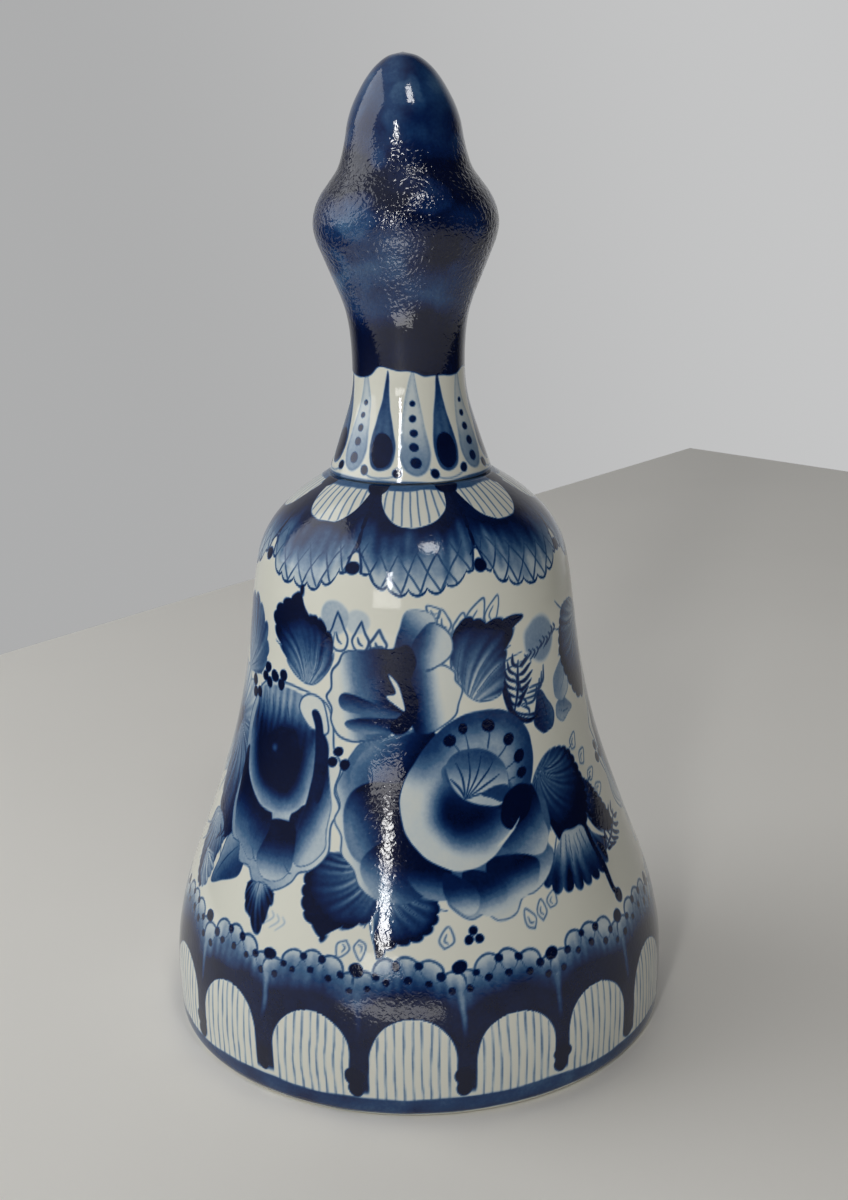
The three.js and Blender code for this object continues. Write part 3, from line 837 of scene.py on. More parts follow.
def front(canvas):
    """The two roses, the bud and the leaves between them."""
    cloud = Spot(canvas, 47, 58.6)
    where, u, v = cloud.view(0, 0, 3.4)
    cloud.stain(where, ramp(3.2, 2.4, np.hypot(u * 1.05, v * 0.9)), 0.34)
    brushed_leaf(canvas, -40, 60, *TOP_LEFT_LEAF, 11, 1.0, 0.3, 1.0, 9.4, veins=9)
    brushed_leaf(canvas, 23, 57.8, *TOP_RIGHT_LEAF, 12, 1.0, 0.26, 1.5, 11.5, veins=9, curl=-2.5)
    for turn, height, lean, length, width in ((11.5, 61.5, -18, 3.2, 1.7), (14.5, 61.2, 16, 3.0, 1.5),
                                              (18.5, 61.6, 28, 4.6, 2.4), (25, 61.8, 30, 4.2, 2.0),
                                              (8.5, 63.4, -40, 2.4, 1.4)):
        bud_outline(canvas, turn, height, lean, length, width)
    brushed_leaf(canvas, -20, 28.2, *LOW_LEFT_LEAF, 13, 1.0, 0.42, 2.0, 10.0, veins=7, curl=-3.0)
    brushed_leaf(canvas, -2.5, 26.6, *LOW_RIGHT_LEAF, 14, 1.0, 0.36, 2.5, 10.6, veins=7, curl=2.5)
    cup_rose(canvas, -45, 41)
    big_rose(canvas, 13, 41)
    bud(canvas, -7, 55)
    berries(Spot(canvas, -45, 41), [(-5.6, 12.6), (-4.5, 11.8), (-3.3, 13.0), (-1.9, 12.2), (-1.5, 13.5),
                                    (-4.9, 13.9), (-8.8, 11.2), (-8.6, 9.6), (-7.2, 9.8)], 0.78)
    berries(Spot(canvas, -22, 44), [(-0.9, 1.7), (-1.4, 0.1), (0.4, 0)], 0.72)
    berries(Spot(canvas, 12.3, 24), [(0, 0.8), (-0.7, -0.3), (0.75, -0.4)], 0.64)
    for turn, height, lean in ((6, 22.9, 10), (28, 23.6, -20), (31, 24, 8), (34, 25, 30),
                               (-17, 23.4, 200), (-14, 23.6, 170)):
        bud_outline(canvas, turn, height, lean, 2.6, 1.6, 0.5)


def pale_bloom(canvas, turn, height):
    """An open flower in thin grey-blue washes."""
    spot = Spot(canvas, turn, height, shake=0.14)
    for k, angle in enumerate((-150, 150, -100, 100, -50, 50, 0)):
        petal = [(angle - 38, 6.6), (angle - 14, 8.6), (angle + 12, 8.8), (angle + 38, 6.4)]
        spot.fan(petal, 0.62, 0.2, 0.05, 0.95, 2, 0.06, 0.1, 0.5, 0.24, 50 + k)
    spot.shape([(-2, 0), (-1, 1.8), (1.4, 1.8), (2.2, 0), (1.2, -1.8), (-1.2, -1.8)], 0.85)
    for k in range(7):
        a = 2 * math.pi * k / 7
        spot.dot(2.9 * math.cos(a), 2.9 * math.sin(a), 0.42, 0.85)


def back(canvas):
    """The side away from the front, in the same flowers turned the other way."""
    for turn, height, leaf_shape, mirror in (
            (120, 58, TOP_LEFT_LEAF, True), (-158, 59, TOP_RIGHT_LEAF, False),
            (-104, 58, TOP_LEFT_LEAF, True), (149, 59, TOP_LEFT_LEAF, False),
            (124, 27.5, LOW_LEFT_LEAF, True), (139, 26.6, LOW_RIGHT_LEAF, True),
            (-176, 27.5, LOW_LEFT_LEAF, True), (-112, 27, LOW_LEFT_LEAF, False),
            (-111, 41, SIDE_LEAF, False), (70.5, 55, SIDE_LEAF, True),
            (-172, 33, SIDE_LEAF, False), (121, 46, SIDE_LEAF, False)):
        seed = int(turn) + 400
        brushed_leaf(canvas, turn, height, *leaf_shape, seed, 1.0, 0.34, 2.0, 10.0, mirror=mirror)
    fern(canvas, 83, 27, 60, 7.4)
    fern(canvas, -120, 52, 20, 6.6)
    cup_rose(canvas, 96, 40.5, True)
    big_rose(canvas, 158, 41, True)
    cup_rose(canvas, -141, 41)
    bud(canvas, 178, 55.5, True)
    for turn, height in ((124, 36), (-118, 34), (75, 39), (-164, 50)):
        berries(Spot(canvas, turn, height), [(-0.9, 1.7), (-1.4, 0.1), (0.4, 0)], 0.72)
    for turn, height, lean in ((106, 61, 8), (110, 60.6, 24), (-126, 61, -14), (-130, 60.6, 10),
                               (150, 23, 20), (164, 23.2, -15), (-150, 23.4, 5), (-98, 24, -10),
                               (108, 23.4, 12), (84, 24, -8)):
        bud_outline(canvas, turn, height, lean, 2.8, 1.6, 0.5)


# The grip's neck and knob


def neck(canvas):
    """Dark and pale drops with dots round the white neck, under the cobalt knob."""
    draw = np.random.default_rng(21)
    pitch = 360.0 / DROPS
    for k in range(DROPS):
        pale_drop(Spot(canvas, FIRST_DROP + (k + 0.5) * pitch, DROP_FOOT, shake=0.1), draw)
    for k in range(DROPS):
        dark_drop(Spot(canvas, FIRST_DROP + k * pitch, DROP_FOOT, shake=0.1), draw)
    foot = canvas.height[:, None] + 0.12 * canvas.wander_y
    canvas.pigment = np.maximum(canvas.pigment, 0.62 * ramp(79.2, 78.95, foot))
    knob(canvas)


def dark_drop(spot, draw):
    """A long drop, blue up to its tip, with a near-black bulb at its foot and a dot on either side."""
    outline = [(0, 13.2), (-0.55, 9.5), (-1.45, 5.5), (-1.85, 3.0), (-1.4, 0.9), (0, 0.2), (1.4, 0.9),
               (1.85, 3.0), (1.45, 5.5), (0.55, 9.5)]

    def tone(u, v, depth):
        return 0.6 + 0.1 * ramp(0.9, 0.0, depth) + 0.1 * ramp(9, 13, v) + 0.06 * stripes(u * 5, 3)

    spot.shape(outline, tone)
    spot.shape([(0, 5.2), (-1.1, 4.6), (-1.6, 2.9), (-1.2, 1.2), (0, 0.5), (1.2, 1.2), (1.6, 2.9),
                (1.1, 4.6)], 0.98, hide=False)
    for side in (-1, 1):
        spot.dot(side * 2.35, 0.15 + draw.uniform(-0.15, 0.15), 0.62, 0.98)
        spot.line([(0, -0.75), (side * 1.3, -0.6), (side * 2.4, -0.1), (side * 2.9, 0.6)], 0.2, 0.42)


def pale_drop(spot, draw):
    """A pale drop, bluer at its foot, with a chain of dots."""
    outline = [(0, 13.2), (-0.7, 10.0), (-1.5, 5.5), (-1.95, 2.5), (-1.4, 0.5), (0, -0.3), (1.4, 0.5),
               (1.95, 2.5), (1.5, 5.5), (0.7, 10.0)]

    def tone(u, v, depth):
        return 0.1 + 0.26 * ramp(7.5, 1.0, v) + 0.1 * ramp(0.5, 0.0, depth)

    spot.shape(outline, tone, 0.3, 0.16)
    for place, radius in ((9.0, 0.36), (7.2, 0.44), (5.4, 0.52), (3.5, 0.62), (1.4, 0.74)):
        spot.dot(draw.uniform(-0.1, 0.1), place, radius, 0.92)


def knob(canvas):
    """Cobalt over everything above the neck, thinner where the brush lifted."""
    height = canvas.height[:, None] + 0.35 * canvas.wander_y + 0.12 * canvas.wash
    cloud = canvas.cloud(4.0)
    tone = 1.0 - 0.1 * ramp(97, 102, height) + 0.09 * cloud * ramp(96, 100, height)
    tone = tone - 0.17 * ramp(0.1, 1.8, canvas.wash) * ramp(98, 103, height) - 0.16 * ramp(117, 130, height)
    tone = tone + 0.16 * ramp(5.0, 1.0, np.abs(height - 117.5))
    cobalt = ramp(COBALT_EDGE, COBALT_EDGE + 0.3, height)
    canvas.pigment = mix(canvas.pigment, np.clip(tone, 0.45, 1.0), cobalt)


# Outlines of the turned pieces, taken from the CAD nodes


def rings(node):
    """The outline of a turned CAD node, as (radius, height) in mm.

    An open outline starts at its upper end. A closed one starts and ends at its lowest outermost
    corner, and goes up the outside first."""
    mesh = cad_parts[node].data
    points = np.array([v.co[:] for v in mesh.vertices]) / MM
    places = np.round(np.column_stack([np.hypot(points[:, 0], points[:, 1]), points[:, 2]]), 2)
    places, ring = np.unique(places, axis=0, return_inverse=True)
    ring = ring.reshape(-1)
    beside = {i: set() for i in range(len(places))}
    for edge in mesh.edges:
        a, b = (int(ring[i]) for i in edge.vertices)
        if a != b:
            beside[a].add(b)
            beside[b].add(a)
    ends = [i for i in beside if len(beside[i]) == 1]
    if ends:
        first = max(ends, key=lambda i: places[i][1])
        walk = [first, *beside[first]]
    else:
        first = min(beside, key=lambda i: (round(places[i][1], 1), -places[i][0]))
        walk = [first, max(beside[first], key=lambda i: places[i][0] + places[i][1])]
    while True:
        following = [i for i in beside[walk[-1]] if i != walk[-2]]
        if not following or following[0] == first:
            break
        walk.append(following[0])
    if not ends:
        walk.append(first)
    return places[walk]


def smooth_outline(points, step):
    """Points a step apart along a curve that runs smoothly through the ones given."""
    path = smooth_path(points, steps=24)
    along = np.concatenate([[0.0], np.cumsum(np.hypot(*np.diff(path, axis=0).T))])
    count = int(math.ceil(along[-1] / step)) + 1
    even = np.linspace(0.0, along[-1], count)
    return np.column_stack([np.interp(even, along, path[:, 0]), np.interp(even, along, path[:, 1])]), even


def corners(points, limit=32.0):
    """The places in an outline where it turns by more than limit degrees, with both its ends."""
    heading = np.degrees(np.arctan2(*np.diff(points, axis=0).T[::-1]))
    turn = np.abs((np.diff(heading) + 180.0) % 360.0 - 180.0)
    return [0, *(int(i) + 1 for i in np.nonzero(turn > limit)[0]), len(points) - 1]


# Fine meshes


class Turning:
    """A surface turned round Z, built ring by ring; a ring may have half the points of its neighbour."""

    def __init__(self, columns):
        self.columns = columns
        self.points = []
        self.pigment = []
        self.faces = []
        self.finish = []
        self.last = None
        self.total = 0

    def ring(self, radius, height, thin=1, pigment=None, finish=0):
        """Adds a ring at a radius and height in mm, keeping one column in thin, joined to the last."""
        count = self.columns // thin if radius > 1e-4 else 1
        turn = np.radians(np.arange(count) * 360.0 / count - 180.0)
        self.points.append(np.column_stack([
            radius * np.sin(turn), -radius * np.cos(turn), np.full(count, height)]) * MM)
        self.pigment.append(np.zeros(count) if pigment is None else pigment[::thin][:count])
        start = self.total
        self.total += count
        if self.last is not None:
            self.join(*self.last, start, count, finish)
        self.last = (start, count)

    def join(self, a, many, b, few, finish):
        """Faces between a ring of many points from a and one of few from b, or the other way round."""
        flip = few > many
        if flip:
            a, many, b, few = b, few, a, many
        if few == 1:
            i = np.arange(many)
            faces = np.column_stack([a + i, a + (i + 1) % many, np.full(many, b)])
        else:
            i = np.arange(few)
            step = many // few
            low = [a + (i * step + j) % many for j in range(step + 1)]
            faces = np.column_stack([*low, b + (i + 1) % few, b + i])
        if flip:
            faces = faces[:, ::-1]
        self.faces.append(faces)
        self.finish.append(np.full(len(faces), finish))

    def close(self, finish=0):
        """Joins the last ring back to the first."""
        self.join(*self.last, 0, len(self.points[0]), finish)

    def build(self, name, materials):
        """The finished mesh as an object."""
        mesh = bpy.data.meshes.new(name)
        points = np.concatenate(self.points)
        loops = np.concatenate([f.ravel() for f in self.faces])
        sizes = np.concatenate([np.full(len(f), f.shape[1]) for f in self.faces])
        mesh.vertices.add(len(points))
        mesh.vertices.foreach_set("co", points.ravel())
        mesh.loops.add(len(loops))
        mesh.loops.foreach_set("vertex_index", loops)
        mesh.polygons.add(len(sizes))
        mesh.polygons.foreach_set("loop_start", np.concatenate([[0], np.cumsum(sizes)[:-1]]))
        mesh.update(calc_edges=True)
        mesh.validate()
        mesh.polygons.foreach_set("material_index", np.concatenate(self.finish).astype(np.int32))
        mesh.shade_smooth()
        layer = mesh.attributes.new("pigment", "FLOAT", "POINT")
        layer.data.foreach_set("value", np.concatenate(self.pigment).astype(np.float32))
        for material in materials:
            mesh.materials.append(material)
        return add(name, mesh)


def add(name, data):
    """A new object in the scene."""
    made = bpy.data.objects.new(name, data)
    bpy.context.collection.objects.link(made)
    return made


# Materials


class Graph:
    """A small helper for building a material's nodes."""

    def __init__(self, name):
        self.material = bpy.data.materials.new(name)
        self.material.use_nodes = True
        self.nodes = self.material.node_tree.nodes
        self.links = self.material.node_tree.links
        self.nodes.clear()
        self.shader = self.node("ShaderNodeBsdfPrincipled")
        self.output = self.node("ShaderNodeOutputMaterial")
        self.links.new(self.shader.outputs[0], self.output.inputs["Surface"])
        self.place = self.node("ShaderNodeTexCoord").outputs["Object"]

    def node(self, kind, **settings):
        """A new node."""
        made = self.nodes.new(kind)
        for key, value in settings.items():
            setattr(made, key, value)
        return made

    def put(self, socket, value):
        """Links another node's socket in, or sets a plain value."""
        if isinstance(value, bpy.types.NodeSocket):
            self.links.new(value, socket)
        else:
            socket.default_value = value

    def set(self, **sockets):
        """Sets the shader's sockets by name; underscores stand for spaces."""
        for key, value in sockets.items():
            self.put(self.shader.inputs[key.replace("_", " ")], value)

    def noise(self, size, detail=2.0, roughness=0.5, distortion=0.0, place=None):
        """Noise from 0 to 1 with lumps of a size in metres."""
        made = self.node("ShaderNodeTexNoise")
        self.put(made.inputs["Vector"], self.place if place is None else place)
        made.inputs["Scale"].default_value = 1.0 / size
        made.inputs["Detail"].default_value = detail
        made.inputs["Roughness"].default_value = roughness
        made.inputs["Distortion"].default_value = distortion
        return made.outputs["Fac"]

    def maths(self, operation, first, second=0.0, third=0.0, clamp=False):
        """One sum, on numbers or sockets."""
        made = self.node("ShaderNodeMath", operation=operation, use_clamp=clamp)
        for socket, value in zip(made.inputs, (first, second, third)):
            self.put(socket, value)
        return made.outputs[0]

    def span(self, value, low, high, first, last):
        """Takes low..high to first..last, held at the ends."""
        made = self.node("ShaderNodeMapRange")
        self.put(made.inputs["Value"], value)
        for key, number in (("From Min", low), ("From Max", high), ("To Min", first), ("To Max", last)):
            made.inputs[key].default_value = number
        return made.outputs["Result"]

    def colours(self, value, stops):
        """Colour by value; stops are (place, colour)."""
        made = self.node("ShaderNodeValToRGB")
        self.put(made.inputs["Fac"], value)
        ramp_stops = made.color_ramp.elements
        while len(ramp_stops) < len(stops):
            ramp_stops.new(0.5)
        for stop, (place, colour) in zip(ramp_stops, stops):
            stop.position = place
            stop.color = colour
        return made.outputs["Color"]

    def multiply(self, share, first, second):
        """The first colour, multiplied by the second as far as share says."""
        made = self.node("ShaderNodeMix", data_type="RGBA", blend_type="MULTIPLY")
        self.put(made.inputs["Factor"], share)
        self.put(made.inputs["A"], first)
        self.put(made.inputs["B"], second)
        return made.outputs["Result"]

    def bump(self, height, strength, distance, under=None):
        """A surface raised by height, over another bump."""
        made = self.node("ShaderNodeBump")
        made.inputs["Strength"].default_value = strength
        made.inputs["Distance"].default_value = distance
        self.put(made.inputs["Height"], height)
        if under is not None:
            self.put(made.inputs["Normal"], under)
        return made.outputs["Normal"]


def paint(red, green, blue):
    """A colour from its usual 0 to 255 values."""
    shares = (red / 255, green / 255, blue / 255)
    return (*[((c + 0.055) / 1.055) ** 2.4 if c > 0.04 else c / 12.92 for c in shares], 1.0)


def crinkle(graph):
    """How crinkled the glaze is: slightly on the cup, and most round the knob."""
    height = graph.node("ShaderNodeSeparateXYZ")
    graph.put(height.inputs[0], graph.place)
    middle = graph.maths("ABSOLUTE", graph.maths("SUBTRACT", height.outputs["Z"], CRINKLE_HEIGHT * MM))
    patch = graph.maths("ADD", middle, graph.maths("MULTIPLY", graph.noise(9 * MM, 1.0), 14 * MM))
    return graph.span(patch, 20 * MM, 12 * MM, 0.15, 1.25)


def painted_glaze(name, bend):
    """Clear glossy glaze over white porcelain painted with cobalt, from the pigment attribute.

    bend is the glaze's refractive index."""
    graph = Graph(name)
    pigment = graph.node("ShaderNodeAttribute", attribute_name="pigment").outputs["Fac"]
    cloud = graph.maths("SUBTRACT", graph.noise(3.2 * MM, 3.0), 0.5)
    grain = graph.maths("SUBTRACT", graph.noise(0.45 * MM, 2.0), 0.5)
    uneven = graph.maths("MULTIPLY_ADD", cloud, 0.5, graph.maths("MULTIPLY", grain, 0.3))
    thin = graph.maths("MULTIPLY", pigment, graph.maths("SUBTRACT", 1.15, pigment))
    washed = graph.maths("MULTIPLY_ADD", thin, graph.maths("MULTIPLY", uneven, 1.6), pigment, clamp=True)
    colour = graph.colours(washed, [
        (0.0, paint(216, 216, 205)),
        (0.12, paint(186, 197, 202)),
        (0.3, paint(128, 150, 172)),
        (0.5, paint(68, 102, 138)),
        (0.7, paint(27, 61, 106)),
        (0.87, paint(6, 30, 76)),
        (1.0, paint(1, 11, 44)),
    ])
    speck = graph.span(graph.noise(1.1 * MM, 1.0), 0.78, 0.84, 0.0, 0.35)
    tint = graph.multiply(graph.maths("MULTIPLY", speck, 0.25), colour, paint(170, 160, 140))
    graph.set(Base_Color=tint, IOR=bend)
    graph.set(Roughness=graph.span(graph.noise(6 * MM, 2.0), 0.3, 0.7, 0.05, 0.11))
    thick = graph.span(pigment, 0.1, 0.85, 0.2, 1.0)
    rough = graph.maths("MULTIPLY", thick, crinkle(graph))
    peel = graph.maths("MULTIPLY", graph.noise(0.6 * MM, 1.0, distortion=0.6), rough)
    waves = graph.bump(graph.noise(5 * MM, 1.0), 0.3, 0.14 * MM)
    graph.set(Normal=graph.bump(peel, 1.0, 0.14 * MM, waves))
    return graph.material


def bisque(name):
    """Bare fired clay."""
    graph = Graph(name)
    speck = graph.noise(0.7 * MM, 4.0, 0.6)
    stops = [(0.3, paint(206, 199, 184)), (0.55, paint(226, 220, 206)), (0.75, paint(214, 206, 190))]
    graph.set(Base_Color=graph.colours(speck, stops))
    graph.set(Roughness=graph.span(speck, 0.3, 0.7, 0.7, 0.85))
    graph.set(Normal=graph.bump(speck, 0.5, 0.05 * MM))
    return graph.material


def metal(name, dark, bright, rough, grain, stretch):
    """Worked metal: a tint that wanders between two colours, with fine marks along the grain."""
    graph = Graph(name)
    scaled = graph.node("ShaderNodeMapping")
    graph.put(scaled.inputs["Vector"], graph.place)
    scaled.inputs["Scale"].default_value = stretch
    marks = graph.noise(grain, 5.0, 0.65, place=scaled.outputs["Vector"])
    patches = graph.noise(2.5 * MM, 3.0)
    mixed = graph.maths("MULTIPLY_ADD", marks, 0.4, graph.maths("MULTIPLY", patches, 0.6))
    graph.set(Base_Color=graph.colours(mixed, [(0.35, dark), (0.6, bright)]), Metallic=1.0)
    graph.set(Roughness=graph.span(mixed, 0.3, 0.7, rough, rough * 0.6))
    graph.set(Normal=graph.bump(marks, 0.35, 0.02 * MM))
    return graph.material


# The pieces


def height_span(node):
    """The lowest and highest height of a CAD node, in mm."""
    low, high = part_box(node)
    return low[2] / MM, high[2] / MM


def placed(made, body, node):
    """Hangs a finished piece on the body it rides on, and hides the CAD node that it stands for."""
    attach(made, body)
    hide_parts(node)


def plain_mesh(name, points, faces, material):
    """A piece from points in mm and faces."""
    mesh = bpy.data.meshes.new(name)
    mesh.from_pydata([(x * MM, y * MM, z * MM) for x, y, z in points], [], faces)
    mesh.materials.append(material)
    return add(name, mesh)


def fine_cup():
    """The cup, turned finely on its painted outside and coarsely inside."""
    profile = rings("bell_cup")
    sharp = corners(profile)
    crease = next(i for i in sharp if profile[i][1] > profile[:, 1].max() - 0.01)
    outside, lengths = smooth_outline(profile[:crease + 1], CUP_STEP)
    canvas = Canvas(outside[:, 0], lengths, outside[:, 1], CUP_COLUMNS, 3)
    arcade(canvas)
    rim_band(canvas)
    shoulder(canvas, outside[-1][1])
    garland(canvas)
    turning = Turning(CUP_COLUMNS)
    for (radius, height), line in zip(outside, canvas.pigment):
        turning.ring(radius, height, 1, line)
    rest = profile[crease:]
    for (r, z), thin in zip(between(rest[0], rest[1], 5), (2, 4, 8, 8)):
        turning.ring(r, z, thin)
    for r, z in rest[1:-1]:
        turning.ring(r, z, 8)
    for (r, z), thin in zip(between(rest[-2], rest[-1], 5), (8, 4, 2, 2)):
        turning.ring(r, z, thin, finish=1)
    turning.close(1)
    made = turning.build("painted_cup", [painted_glaze("cup glaze", 1.46), bisque("foot")])
    placed(made, "body", "bell_cup")


def between(first, last, count):
    """Evenly spaced places between two, without either."""
    return [first + (last - first) * (k + 1) / count for k in range(count - 1)]


def fine_grip():
    """The grip, with its painted neck and its cobalt knob."""
    profile = rings("grip")
    foot = int(np.argmin(profile[:, 1]))
    outside, lengths = smooth_outline(profile[:foot + 1][::-1], GRIP_STEP)
    canvas = Canvas(outside[:, 0], lengths, outside[:, 1], GRIP_COLUMNS, 9)
    neck(canvas)
    turning = Turning(GRIP_COLUMNS)
    for (radius, height), line in zip(outside[::-1], canvas.pigment[::-1]):
        thin = 1 if radius > 3.0 else 2 if radius > 1.5 else 4 if radius > 0.7 else 8
        turning.ring(radius, height, thin, line)
    for r, z in profile[foot + 1:]:
        turning.ring(r, z, 8 if z > 80.5 else 4)
    made = turning.build("painted_grip", [painted_glaze("grip glaze", 1.58)])
    placed(made, "body", "grip")


def collar(name, node, edge, material, body):
    """A brass ring with rounded edges, turned to the CAD node's own size."""
    low, high = height_span(node)
    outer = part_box(node)[1][0] / MM
    turning = Turning(96)
    turning.ring(BORE, low)
    for centre, start in ((low + edge, 180.0), (high - edge, 90.0)):
        for step in range(7):
            angle = math.radians(start - 15.0 * step)
            turning.ring(outer - edge + edge * math.sin(angle), centre + edge * math.cos(angle))
    turning.ring(BORE, high)
    turning.close()
    placed(turning.build(name, [material]), body, node)


def ball(material):
    """The clapper's unglazed ball, bored for its stem."""
    low, high = height_span("clapper_ball")
    middle = (low + high) / 2
    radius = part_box("clapper_ball")[1][0] / MM
    mouth = math.acos(BORE / radius)
    turning = Turning(192)
    for angle in np.linspace(-mouth, mouth, 97):
        thin = 2 if abs(angle) > 1.2 else 1
        turning.ring(radius * math.cos(angle), middle + radius * math.sin(angle), thin)
    turning.close()
    placed(turning.build("bisque_ball", [material]), "clapper", "clapper_ball")


def wire(name, path, material):
    """A round wire swept along a path in mm, with softly rounded ends."""
    sides = 20
    caps = 4
    along = np.gradient(path, axis=0)
    along /= np.linalg.norm(along, axis=1)[:, None]
    side = np.cross(along, np.ptp(path, axis=0).argmin() == np.arange(3))
    side /= np.linalg.norm(side, axis=1)[:, None]
    other = np.cross(along, side)
    steps = np.arange(1, caps + 1) / caps
    radii = WIRE_RADIUS * np.concatenate([
        np.sqrt(1 - (1 - steps) ** 2), np.ones(len(path) - 2), np.sqrt(1 - (1 - steps[::-1]) ** 2)])
    back = WIRE_RADIUS * (1 - steps)[:, None]
    places = np.vstack([path[0] - along[0] * back, path[1:-1], path[-1] + along[-1] * back[::-1]])
    frames = np.r_[[0] * caps, 1:len(path) - 1, [-1] * caps]
    angles = np.arange(sides) * 2 * math.pi / sides
    points = []
    for place, radius, k in zip(places, radii, frames):
        for a in angles:
            points.append(place + radius * (math.cos(a) * side[k] + math.sin(a) * other[k]))
    tip = WIRE_RADIUS / caps
    points.append(places[0] - along[0] * tip)
    points.append(places[-1] + along[-1] * tip)
    last = len(places) * sides
    faces = []
    for start in range(0, last - sides, sides):
        for j in range(sides):
            beside = (j + 1) % sides
            faces.append((start + j, start + beside, start + sides + beside, start + sides + j))
    for j in range(sides):
        beside = (j + 1) % sides
        faces.append((beside, j, last))
        faces.append((last - sides + j, last - sides + beside, last + 1))
    made = plain_mesh(name, points, faces, material)
    made.data.shade_smooth()
    return made


def eye_path(shank_end, centre, rise, flat_axis):
    """A wire's path: a straight shank on Z from shank_end, and an eye bent round centre.

    rise is 1 if the shank is above the eye and -1 if it is below; flat_axis is 0 or 1 for X or Y."""
    places = []
    for height in np.linspace(shank_end, centre + rise * (EYE_RADIUS + 1.5), 12):
        places.append((0.0, height))
    for angle in np.arange(48, 352, 7.6):
        a = math.radians(angle)
        places.append((EYE_RADIUS * math.sin(a), centre + rise * EYE_RADIUS * math.cos(a)))
    return np.insert(smooth_path(np.array(places), steps=4), flat_axis, 0.0, axis=1)


def hanger(steel):
    """The eye pin: a bent wire eye under the crown and a domed head on the washer."""
    low, high = height_span("eye_pin")
    path = eye_path(high - 1.0, low + WIRE_RADIUS + EYE_RADIUS, 1, 0)
    placed(wire("eye_wire", path, steel), "hanger", "eye_pin")
    head = Turning(64)
    for radius, down in ((0, 1.4), (1.5, 1.4), (1.6, 1.3), (1.6, 0.95), (1.52, 0.75), (1.3, 0.48),
                         (0.96, 0.2), (0.5, 0.04), (0, 0)):
        head.ring(radius, high - down)
    placed(head.build("pin_head", [steel]), "hanger", "eye_pin")


def stem(steel):
    """The clapper's stem: a straight wire from under the ball, with an eye hooked through the pin's."""
    low, high = height_span("clapper_stem")
    path = eye_path(low + WIRE_RADIUS, high - WIRE_RADIUS - EYE_RADIUS, -1, 1)
    placed(wire("stem_wire", path, steel), "clapper", "clapper_stem")


def toggle(steel):
    """The flat bar over the crown's hole, with rounded edges."""
    low, high = height_span("toggle_bar")
    half_long, half_wide = (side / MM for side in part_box("toggle_bar")[1][:2])
    bevel = 0.25
    angles = 2 * math.pi * (np.arange(BAR_POINTS) + 0.5) / BAR_POINTS
    points = []
    for inset, height in ((bevel, low), (bevel * 0.3, low + bevel * 0.3), (0.0, low + bevel),
                          (0.0, high - bevel), (bevel * 0.3, high - bevel * 0.3), (bevel, high)):
        for a in angles:
            shift = math.copysign(half_long - half_wide, math.cos(a))
            radius = half_wide - inset
            points.append((radius * math.cos(a) + shift, radius * math.sin(a), height))
    for height in (high, low):
        for a in angles:
            points.append((BORE * math.cos(a), BORE * math.sin(a), height))
    faces = []
    for start in range(0, len(points), BAR_POINTS):
        above = (start + BAR_POINTS) % len(points)
        for j in range(BAR_POINTS):
            beside = (j + 1) % BAR_POINTS
            faces.append((start + j, start + beside, above + beside, above + j))
    placed(plain_mesh("fine_toggle", points, faces, steel), "body", "toggle_bar")


def hardware():
    """Everything that hangs inside the bell."""
    steel = metal("steel", paint(118, 120, 124), paint(176, 178, 182), 0.34, 0.5 * MM, (1.0, 1.0, 0.12))
    brass = metal("brass", paint(140, 104, 48), paint(206, 166, 92), 0.36, 0.4 * MM, (1.0, 1.0, 3.0))
    toggle(steel)
    hanger(steel)
    stem(steel)
    collar("brass_washer", "pin_washer", 0.1, brass, "body")
    collar("brass_ferrule_upper", "upper_ferrule", 0.4, brass, "clapper")
    collar("brass_ferrule_lower", "lower_ferrule", 0.4, brass, "clapper")
    ball(bisque("bisque ball"))


# Camera, light and floor


def camera():
    """The photograph's viewpoint: a short way above the cup's shoulder, looking gently down."""
    pitch, yaw, roll = (math.radians(angle) for angle in (CAMERA_PITCH, CAMERA_YAW, CAMERA_ROLL))
    ahead = Vector((math.sin(yaw), math.cos(yaw), 0.0))
    right = Vector((math.cos(yaw), -math.sin(yaw), 0.0))
    upright = Vector((0.0, 0.0, 1.0))
    forward = ahead * math.cos(pitch) - upright * math.sin(pitch)
    up = ahead * math.sin(pitch) + upright * math.cos(pitch)
    rolled_right = right * math.cos(roll) + up * math.sin(roll)
    rolled_up = up * math.cos(roll) - right * math.sin(roll)
    data = bpy.data.cameras.new("camera")
    data.sensor_width = 36.0
    data.lens = CAMERA_LENS
    data.clip_start = 0.01
    data.clip_end = 20.0
    made = add("camera", data)
    turned = Matrix((rolled_right, rolled_up, -forward)).transposed()
    made.matrix_world = Matrix.Translation(CAMERA_PLACE) @ turned.to_4x4()
    bpy.context.scene.camera = made


def lamp(name, azimuth, elevation, distance, width, height, glow, colour=DAYLIGHT):
    """A soft rectangular light facing the cup; azimuth 0 is in front and grows to the right."""
    a, e = math.radians(azimuth), math.radians(elevation)
    away = Vector((math.sin(a) * math.cos(e), -math.cos(a) * math.cos(e), math.sin(e)))
    panel(name, Vector(LAMP_TARGET) + away * distance, -away, width, height, glow, colour)


def panel(name, place, facing, width, height, glow, colour=DAYLIGHT):
    """A rectangular light, as bright as glow times a white wall in full light."""
    data = bpy.data.lights.new(name, "AREA")
    data.shape = "RECTANGLE"
    data.size = width
    data.size_y = height
    data.energy = glow * math.pi * width * height
    data.color = colour
    made = add(name, data)
    made.rotation_mode = "QUATERNION"
    made.rotation_quaternion = facing.to_track_quat("-Z", "Y")
    made.location = place
    made.visible_camera = False


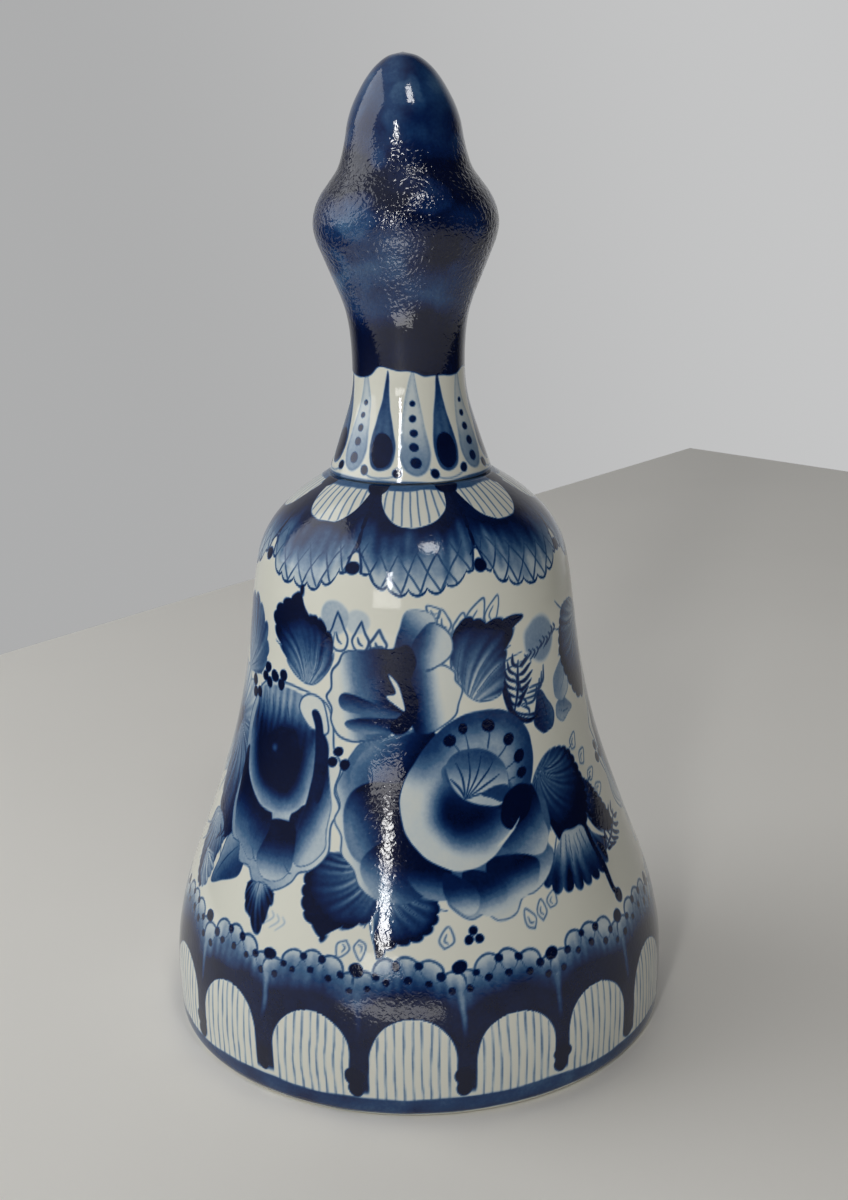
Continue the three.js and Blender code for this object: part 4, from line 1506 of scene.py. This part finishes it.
def room():
    """A soft grey room: a pale wall behind, daylight from the upper left, and dark elsewhere."""
    world = bpy.data.worlds.new("room")
    world.use_nodes = True
    nodes, links = world.node_tree.nodes, world.node_tree.links
    place = nodes.new("ShaderNodeTexCoord").outputs["Generated"]

    def lobe(direction, low, high, first, last):
        """Brightness that goes from first to last as the view turns towards a direction."""
        along = nodes.new("ShaderNodeVectorMath")
        along.operation = "DOT_PRODUCT"
        along.inputs[1].default_value = Vector(direction).normalized()
        links.new(place, along.inputs[0])
        part = nodes.new("ShaderNodeMapRange")
        part.interpolation_type = "SMOOTHSTEP"
        links.new(along.outputs["Value"], part.inputs["Value"])
        for key, value in (("From Min", low), ("From Max", high), ("To Min", first), ("To Max", last)):
            part.inputs[key].default_value = value
        return part.outputs["Result"]

    def join(operation, first, second):
        """The sum or product of two brightnesses."""
        made = nodes.new("ShaderNodeMath")
        made.operation = operation
        links.new(first, made.inputs[0])
        links.new(second, made.inputs[1])
        return made.outputs[0]

    brighter_right = lobe((1, 0, 0.25), -0.2, 0.25, 1.0, 1.36)
    wall = join("MULTIPLY", lobe((0, 1, 0), 0.45, 0.9, 0.0, 0.4), brighter_right)
    daylight = lobe((-0.6, -0.2, 0.75), 0.3, 1.0, 0.02, 0.34)
    sky = nodes["Background"]
    sky.inputs["Color"].default_value = (0.99, 0.995, 1.0, 1.0)
    links.new(join("ADD", wall, daylight), sky.inputs["Strength"])
    bpy.context.scene.world = world


def studio():
    """A pale table, with a soft window in front to the left and the light it throws up off the table."""
    mesh = bpy.data.meshes.new("floor")
    outline = [(-2.08, -2.24, 0), (-2.08, -3, 0), (3, -3, 0), (3, -2.68, 0), TABLE_CORNER]
    mesh.from_pydata(outline, [], [(0, 1, 2, 3, 4)])
    graph = Graph("table")
    stops = [(0.3, paint(234, 231, 225)), (0.7, paint(240, 237, 231))]
    graph.set(Base_Color=graph.colours(graph.noise(0.15, 3.0), stops))
    graph.set(Roughness=0.6)
    mesh.materials.append(graph.material)
    add("floor", mesh)
    lamp("window", -17, 21, 1.3, 0.08, 0.46, 28.0)
    lamp("sill", -18, 6.4, 1.3, 0.42, 0.12, 4.2)
    lamp("curtain", -92, 34, 0.45, 0.42, 0.4, 1.6, (0.97, 0.99, 1.0))
    lamp("skylight", 20, 57, 1.0, 0.16, 0.22, 11.0)
    panel("table_light", Vector((-0.03, -0.165, 0.002)), Vector((0, 0, 1)), 0.1, 0.09, 3.0)
    room()
    bpy.context.scene.view_settings.view_transform = "Standard"


fine_cup()
fine_grip()
hardware()
camera()
studio()
